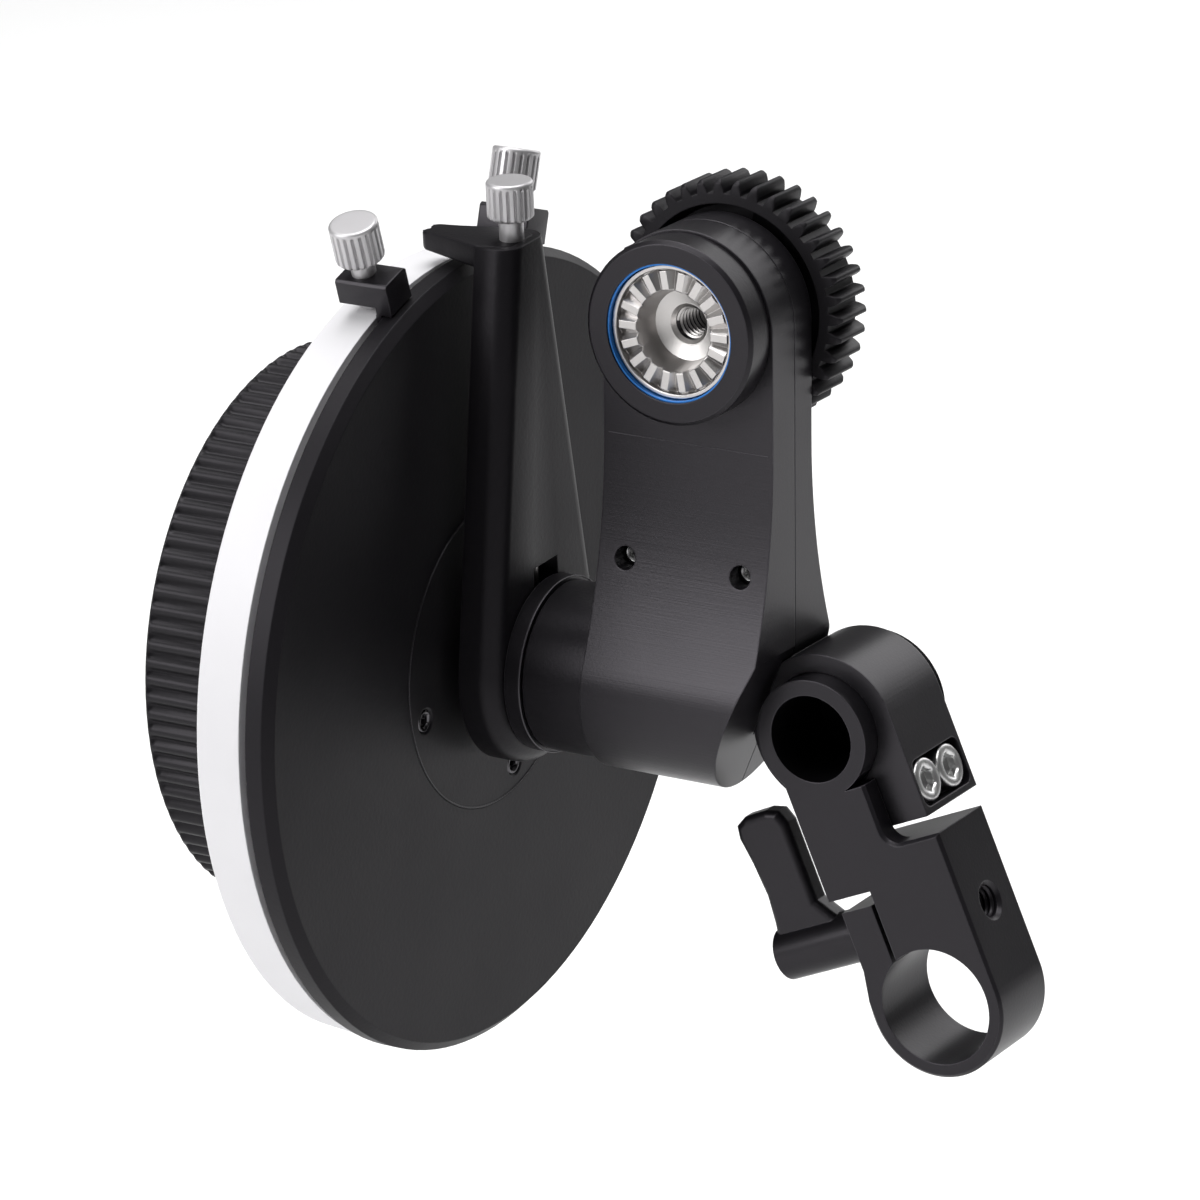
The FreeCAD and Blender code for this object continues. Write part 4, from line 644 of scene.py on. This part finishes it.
def thumb_screw(name, body, foot, lean, shank, neck, head_radius, head_height):
    """Knurled screw that stands at its foot, the point where the neck leaves the arm or stop."""
    mesh = bmesh.new()
    top = neck + head_height
    rings = [(-shank, 0.0011, 0.0), (-shank + 0.0004, 0.0015, 0.0), (-0.0003, 0.0015, 0.0),
             (-0.0001, 0.00155, 0.0), (neck - 0.0002, 0.00155, 0.0), (neck - 0.0001, 0.0018, 0.0),
             (neck, head_radius - 0.00055, 0.6), (neck + 0.00012, head_radius - 0.00035, 0.9),
             (neck + 0.0004, head_radius - 0.00004, 1.0), (neck + 0.0006, head_radius, 1.0),
             (top - 0.0011, head_radius, 1.0), (top - 0.0009, head_radius, 0.85),
             (top - 0.00075, head_radius, 0.5), (top - 0.0006, head_radius, 0.12),
             (top - 0.00052, head_radius, 0.0), (top - 0.0003, head_radius, 0.0),
             (top - 0.00012, head_radius - 0.0001, 0.0), (top - 0.00002, head_radius - 0.00025, 0.0),
             (top, head_radius - 0.0004, 0.0), (top, head_radius - 0.0007, 0.0)]
    lathe(mesh, rings, RIBS * 12, ribbed(RIBS, RIB_DEPTH))
    angle = math.radians(lean)
    aimed(mesh, foot, (0.0, -math.sin(angle), math.cos(angle)))
    return piece_from(mesh, name, body, [body if body == "index_screw" else "stop_screw_" + name[-1]],
                      FINISHES["thumb_steel"], smooth_angle=50.0)


def from_axle(x, height, lean):
    """Point at a height above the wheel's axle, leaning about it."""
    angle = math.radians(lean)
    return (x, WHEEL_AXIS[0] - height * math.sin(angle), WHEEL_AXIS[1] + height * math.cos(angle))


INDEX_MIDDLE, STOP_SCREW_X, STOP_TOP = -0.0606991, -0.0728991, 0.0565
STOP_A_LEAN, STOP_B_LEAN = 18.7, -16.6
thumb_screw("turned_index_screw", "index_screw", from_axle(INDEX_MIDDLE, INDEX_TOP, INDEX_LEAN), INDEX_LEAN,
            shank=0.0119, neck=0.0027, head_radius=0.00295, head_height=0.0050)
for letter, stop_lean in (("a", STOP_A_LEAN), ("b", STOP_B_LEAN)):
    thumb_screw("turned_stop_screw_" + letter, "stop_" + letter + "_screw",
                from_axle(STOP_SCREW_X, STOP_TOP, stop_lean), stop_lean,
                shank=0.00475, neck=0.0019, head_radius=0.0031, head_height=0.0054)
print("thumb screws made")

# %% [markdown]
# ## Ribbed grip
#
# The grip is moulded rubber with a hundred rounded ribs along the axle. Ribs and valleys are equally wide, so the rim
# is a wave and not a row of slots, and the ribs fade out at the front edge. It is one hollow lathe: the same rings as
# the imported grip, with the wave on the outside only.


# %% Grip
DISC_FRONT = -0.0697991
GRIP_RIBS, WAVE_DEPTH, WAVE_POWER = 100, 0.00075, 1.5


def ribbed_grip():
    """Hollow turned grip whose outside is a wave."""
    mesh = bmesh.new()
    rings = [(0.0, 0.00655, 0.0), (0.0, 0.0365, 0.0), (0.0078, 0.0365, 0.0), (0.0080, 0.0365, 1.0),
             (0.0246, 0.0365, 1.0), (0.0250, 0.0365, 0.5), (0.0252, 0.0365, 0.15), (0.0254, 0.0363, 0.05),
             (0.0256, 0.0360, 0.0), (0.0257, 0.0356, 0.0), (0.0257, 0.0295, 0.0), (0.0227, 0.0295, 0.0),
             (0.0227, 0.0280, 0.0), (0.0040, 0.0280, 0.0), (0.0040, 0.0120, 0.0), (0.0060, 0.0090, 0.0),
             (0.0060, 0.00655, 0.0)]

    def wave(angle, radius, share):
        """Radius of a rounded rib or valley."""
        return radius - WAVE_DEPTH * share * (0.5 - 0.5 * math.cos(GRIP_RIBS * angle)) ** WAVE_POWER
    lathe(mesh, rings, GRIP_RIBS * 8, wave, hollow=True)
    mesh.transform(Matrix.Translation((DISC_FRONT, *WHEEL_AXIS)) @ Matrix.Rotation(-math.pi / 2.0, 4, "Y"))
    return piece_from(mesh, "ribbed_grip", "wheel", ["hand_grip"], FINISHES["ribbed_rubber"],
                      smooth_angle=60.0)


ribbed_grip()
print("grip made")

# %% [markdown]
# ## Screws with a socket, and threads
#
# The lug's two cap screws and the two cover screws are bright, with a broken rim and a hexagonal socket. The threaded
# holes of the drive port and the clamp show their turns, so each gets a real spiral ridge: a small triangle swept
# along a helix inside the hole, whose crest stands towards the axis.


# %% Socket screws
def socket_screw(mesh_out, place, direction, shank, shank_radius, head_radius, head_height, socket):
    """Cap screw added to a mesh; its head starts at its place and its socket goes a fixed 1.6 mm deep."""
    mesh = bmesh.new()
    top = head_height
    rings = [(-shank, shank_radius - 0.0002, 0.0), (-shank + 0.0003, shank_radius, 0.0), (0.0, shank_radius, 0.0),
             (0.0, head_radius - 0.0001, 0.0), (0.0001, head_radius, 0.0), (top - 0.0004, head_radius, 0.0),
             (top - 0.0002, head_radius - 0.00008, 0.0), (top - 0.00006, head_radius - 0.00022, 0.0),
             (top, head_radius - 0.00042, 0.0), (top, socket + 0.00042, 0.0),
             (top - 0.0001, socket + 0.00022, 0.4), (top - 0.0003, socket, 1.0),
             (top - 0.0013, socket, 1.0), (top - 0.0016, socket * 0.4, 0.0)]
    lathe(mesh, rings, 48, hexagonal)
    bmesh.ops.recalc_face_normals(mesh, faces=mesh.faces)
    aimed(mesh, place, direction)
    data = bpy.data.meshes.new("part_of_screws")
    mesh.to_mesh(data)
    mesh.free()
    mesh_out.from_mesh(data)
    bpy.data.meshes.remove(data)


# %% Frame of the tilted link
LINK_TILT = 23.5


def link_point(side, depth, up):
    """Point of the tilted link frame: sideways, along the rod, and up from the rod bore."""
    turn = math.radians(LINK_TILT)
    return (side * math.cos(turn) - up * math.sin(turn), depth, side * math.sin(turn) + up * math.cos(turn))


def link_direction(side, depth, up):
    """Direction of the tilted link frame."""
    return Vector(link_point(side, depth, up)).normalized()


# %% Screws of the lug, the cover and the hub plate
LUG_SEAT, LUG_MIDDLE, LUG_SCREW_OUT, LUG_SCREW_UP = 0.0046, 0.0037, 0.00295, 0.02665
COVER_SCREW_OUT, COVER_SCREW_SEAT, COVER_SCREW_UP = 0.0082, -0.0041, 0.052105
HUB_BACK, HUB_SCREW_CIRCLE, HUB_SCREW_SEAT, HUB_SCREW_START = -0.0662991, 0.01715, 0.0007, 15.0


def lug_screws():
    """Two bright cap screws in the lug's pocket."""
    mesh = bmesh.new()
    for side in (-1.0, 1.0):
        socket_screw(mesh, link_point(LUG_SEAT, LUG_MIDDLE + side * LUG_SCREW_OUT, LUG_SCREW_UP),
                     link_direction(1.0, 0.0, 0.0), shank=0.0125, shank_radius=0.0015, head_radius=0.00285,
                     head_height=0.0020, socket=0.0014)
    return piece_from(mesh, "turned_lug_screws", "arm", ["lug_screws"], FINISHES["screw_steel"])


def cover_screws():
    """Two screws just below the front of the cover."""
    mesh = bmesh.new()
    for side in (-1.0, 1.0):
        socket_screw(mesh, (DRIVE_AXIS[0] + side * COVER_SCREW_OUT, COVER_SCREW_SEAT, COVER_SCREW_UP),
                     (0.0, -1.0, 0.0), shank=0.0065, shank_radius=0.0012, head_radius=0.00148, head_height=0.0012,
                     socket=0.00075)
    return piece_from(mesh, "turned_cover_screws", "arm", ["cover_screws"], FINISHES["screw_steel"])


def hub_screws():
    """Four small dark screws of the hub plate."""
    mesh = bmesh.new()
    for quarter in range(4):
        angle = math.radians(HUB_SCREW_START + 90.0 * quarter)
        socket_screw(mesh, (HUB_BACK - HUB_SCREW_SEAT, WHEEL_AXIS[0] + HUB_SCREW_CIRCLE * math.cos(angle),
                            WHEEL_AXIS[1] + HUB_SCREW_CIRCLE * math.sin(angle)), (1.0, 0.0, 0.0),
                     shank=0.0012, shank_radius=0.0009, head_radius=0.00155, head_height=0.0006, socket=0.0009)
    return piece_from(mesh, "turned_hub_screws", "wheel", ["hub_plate_screws"],
                      FINISHES["dark_steel_and_hole_shade"])


for screws in (cover_screws(), hub_screws(), lug_screws()):
    print(screws.name, "faces:", len(screws.data.polygons))


# %% Threads
def spiral(name, body, place, direction, material, radius, depth, pitch, turns, half):
    """Thread ridge inside a hole; its base sinks a little into the wall, and half is a share of the pitch."""
    mesh = bmesh.new()
    per_turn, sunk = 48, 0.00005
    steps = int(per_turn * turns)
    start = first_ring(mesh, [(radius + sunk, 0.0, -half * pitch), (radius - depth, 0.0, 0.0),
                              (radius + sunk, 0.0, half * pitch)])
    swept = bmesh.ops.spin(mesh, geom=start + ring_edges(mesh, start), cent=(0.0, 0.0, 0.0), axis=(0.0, 0.0, 1.0),
                           dvec=(0.0, 0.0, pitch / per_turn), angle=2.0 * math.pi * steps / per_turn, steps=steps,
                           use_merge=False, use_duplicate=False)
    finish_edges = [item for item in swept["geom_last"] if isinstance(item, bmesh.types.BMEdge)]
    for end in (ring_edges(mesh, start), finish_edges):
        bmesh.ops.edgeloop_fill(mesh, edges=end)
    aimed(mesh, place, direction)
    return piece_from(mesh, name, body, [], material, smooth_angle=30.0)


THREAD_PITCH = 0.0008
PORT_THREAD_START = -0.0046
CLAMP_HOLE_START, CLAMP_HOLE_UP = 0.0033, 0.0101
spiral("port_thread", "drive", (DRIVE_AXIS[0], PORT_THREAD_START, DRIVE_AXIS[1]), (0.0, 1.0, 0.0),
       FINISHES["stainless"], radius=0.0021, depth=0.00030, pitch=THREAD_PITCH, turns=7.5, half=0.22)
spiral("clamp_thread", "clamp", link_point(CLAMP_HOLE_START, 0.0, CLAMP_HOLE_UP), link_direction(1.0, 0.0, 0.0),
       FINISHES["black_anodised"], radius=0.00205, depth=0.0003, pitch=THREAD_PITCH, turns=6.6,
       half=0.42)
print("threads made")

# %% [markdown]
# ## Face of the drive port, and fine beads
#
# The face of the drive port is milled with a cone-shaped cutter: its lands keep one width, its gaps widen outwards
# and their flanks slope. A fine groove parts the lands from the rim, and the recess narrows towards its floor. The
# face is made ring by ring, and on each ring a land and a gap have their own depth; the wall of the threaded hole is
# given darker steel as painted shade. Higher up, the cover's belly starts at a crease that runs straight across the
# front, and the cutter has left a fine bead there. The same thin lines ring the hub plate and the end of the tube,
# where two turned pieces meet; the tube's line is pale, partly rubbed wear and partly a painted highlight.


# %% Face of the drive port
def port_columns(radius):
    """Angles round one ring, each with its share of the gap's depth: a land of even width, then the gap's middle."""
    edge = PORT_LAND / 2.0 / radius
    pitch = 2.0 * math.pi / PORT_TEETH
    return [(pitch * tooth + turn, share) for tooth in range(PORT_TEETH)
            for turn, share in ((-edge, 0.0), (0.0, 0.0), (edge, 0.0), (pitch / 2.0, 1.0))]


def drive_port():
    """Drive shaft whose face has lands of even width, with a groove between them and the bright rim."""
    mesh = bmesh.new()
    skin(mesh, [[(radius * math.cos(turn), radius * math.sin(turn), land_depth + share * (gap_depth - land_depth))
                 for turn, share in port_columns(max(radius, LAND_START))]
                for radius, land_depth, gap_depth in PORT_RINGS])
    mesh.transform(Matrix.Translation((DRIVE_AXIS[0], 0.0, DRIVE_AXIS[1])) @ Matrix.Rotation(-math.pi / 2.0, 4, "X"))
    piece = piece_from(mesh, "turned_drive_port", "drive", ["drive_shaft"], FINISHES["stainless"],
                       smooth_angle=12.0)
    # The wall of the threaded hole gets the dark steel as painted shade between the thread's turns.
    piece.data.materials.append(FINISHES["dark_steel_and_hole_shade"])
    for face in piece.data.polygons:
        reach = math.hypot(face.center.x - DRIVE_AXIS[0], face.center.z - DRIVE_AXIS[1])
        if reach < PORT_HOLE_WALL and abs(face.normal.y) < 0.3:
            face.material_index = 1
    return piece


PORT_TEETH, PORT_LAND, LAND_START, PORT_HOLE_WALL = 18, 0.00095, 0.005, 0.0022
# Each ring is a radius, the depth of a land and the depth of a gap.
PORT_RINGS = [(0.0021, 0.0020, 0.0020), (0.0021, -0.0049, -0.0049), (0.0026, -0.0054, -0.0054),
              (0.0027, -0.0054, -0.0054), (0.0045, -0.0058, -0.0058), (0.00508, -0.0088, -0.0088),
              (0.00520, -0.00934, -0.0089), (0.00530, -0.00942, -0.0089), (0.00758, -0.00942, -0.0085),
              (0.00765, -0.00934, -0.0085), (0.00768, -0.00890, -0.0085), (0.00785, -0.00890, -0.0085),
              (0.00788, -0.00950, -0.00950), (0.00796, -0.0096, -0.0096), (0.00834, -0.0096, -0.0096),
              (0.0084, -0.00954, -0.00954), (0.0084, -0.0082, -0.0082), (0.0060, -0.0082, -0.0082),
              (0.0060, -0.0028, -0.0028), (0.0040, -0.0028, -0.0028), (0.0040, 0.0107, 0.0107),
              (0.0020, 0.0107, 0.0107), (0.0020, 0.0047, 0.0047)]
drive_port()
print("drive port made")


# %% Fine beads
def bead_ring(name, body, x, radius, thickness, material):
    """Half-sunk round bead about the wheel's axle."""
    mesh = bmesh.new()
    angles = [2.0 * math.pi * step / BEAD_SIDES for step in range(BEAD_SIDES)]
    start = first_ring(mesh, [(radius + thickness * math.cos(angle), 0.0, thickness * math.sin(angle))
                              for angle in angles])
    bmesh.ops.spin(mesh, geom=start + ring_edges(mesh, start), cent=(0.0, 0.0, 0.0), axis=(0.0, 0.0, 1.0),
                   angle=2.0 * math.pi, steps=144, use_merge=True, use_duplicate=False)
    mesh.transform(Matrix.Translation((x, *WHEEL_AXIS)) @ Matrix.Rotation(math.pi / 2.0, 4, "Y"))
    return piece_from(mesh, name, body, [], material)


def crease_bead():
    """Fine half-sunk bead across the cover."""
    mesh = bmesh.new()
    left, right = CREASE_ENDS
    bmesh.ops.create_cone(mesh, cap_ends=True, segments=BEAD_SIDES, radius1=CREASE_THICKNESS,
                          radius2=CREASE_THICKNESS, depth=right - left,
                          matrix=Matrix.Translation(((left + right) / 2.0, COVER_FRONT, CREASE_UP))
                          @ Matrix.Rotation(math.pi / 2.0, 4, "Y"))
    return piece_from(mesh, "crease_bead", "arm", [], FINISHES["black_cover"])


BEAD_SIDES, CREASE_THICKNESS = 8, 0.00006
COVER_FRONT, CREASE_UP, CREASE_ENDS = -0.0059, 0.067605, (-0.0460, -0.0234)
TUBE_END = -0.0557
crease_bead()
bead_ring("plate_lip", "wheel", HUB_BACK, radius=0.02025, thickness=0.00010, material=FINISHES["black_cover"])
# The tube's lip is pale: partly rubbed wear, partly a painted highlight line.
bead_ring("tube_lip", "arm", TUBE_END, radius=0.01133, thickness=0.00008, material=FINISHES["rubbed_edge_and_highlight"])
print("beads made")

# %% [markdown]
# ## Floor and light
#
# A black object needs large soft lights: their reflections draw its faces and edges. The floor is pale and wide,
# and it lies a little below the wheel: the tool hangs on its clamp, so it throws only a faint soft shadow. One light
# is overhead, one stands in front on the left at the height that the belly of the cover mirrors, and one stands
# behind, where the top of the lug and the right faces of the clamp mirror it.


# %% Floor
def add_floor(height, half=3.0):
    """Large pale plane that belongs to the stage, not to the object."""
    mesh = bpy.data.meshes.new("floor")
    soft = bmesh.new()
    bmesh.ops.create_grid(soft, x_segments=1, y_segments=1, size=half)
    soft.to_mesh(mesh)
    soft.free()
    mesh.transform(Matrix.Translation((0.0, 0.0, height)))
    floor = bpy.data.objects.new("floor", mesh)
    bpy.context.scene.collection.objects.link(floor)
    pale = bpy.data.materials.new("pale_floor")
    pale.use_nodes = True
    shader = pale.node_tree.nodes["Principled BSDF"]
    shader.inputs["Base Color"].default_value = (0.86, 0.86, 0.86, 1.0)
    shader.inputs["Roughness"].default_value = 0.9
    mesh.materials.append(pale)
    return floor


FLOOR_DROP = 0.05
add_floor(cad_box[0][2] - FLOOR_DROP)
print("floor at", round(cad_box[0][2] - FLOOR_DROP, 4))


# %% Lights
def add_area(name, place, target, size, power):
    """Soft square light aimed at a point."""
    data = bpy.data.lights.new(name, "AREA")
    data.size = size
    data.energy = power
    light = bpy.data.objects.new(name, data)
    bpy.context.scene.collection.objects.link(light)
    direction = Vector(target) - Vector(place)
    light.matrix_world = Matrix.Translation(place) @ direction.to_track_quat("-Z", "Y").to_matrix().to_4x4()
    return light


def add_sky(level):
    """Even white surroundings."""
    world = bpy.data.worlds.new("studio")
    world.use_nodes = True
    world.node_tree.nodes["Background"].inputs["Color"].default_value = (1.0, 1.0, 1.0, 1.0)
    world.node_tree.nodes["Background"].inputs["Strength"].default_value = level
    bpy.context.scene.world = world


MIDDLE = (-0.045, 0.0, 0.04)
add_area("top_light", (-0.15, 0.05, 1.3), MIDDLE, 1.2, 24.0)
add_area("key_light", (-0.6, -0.85, 0.5), MIDDLE, 0.7, 10.0)
add_area("back_light", (0.1, 1.1, 0.55), MIDDLE, 0.8, 5.0)
add_sky(0.13)
bpy.context.scene.view_settings.view_transform = "Standard"
print("lights ready")
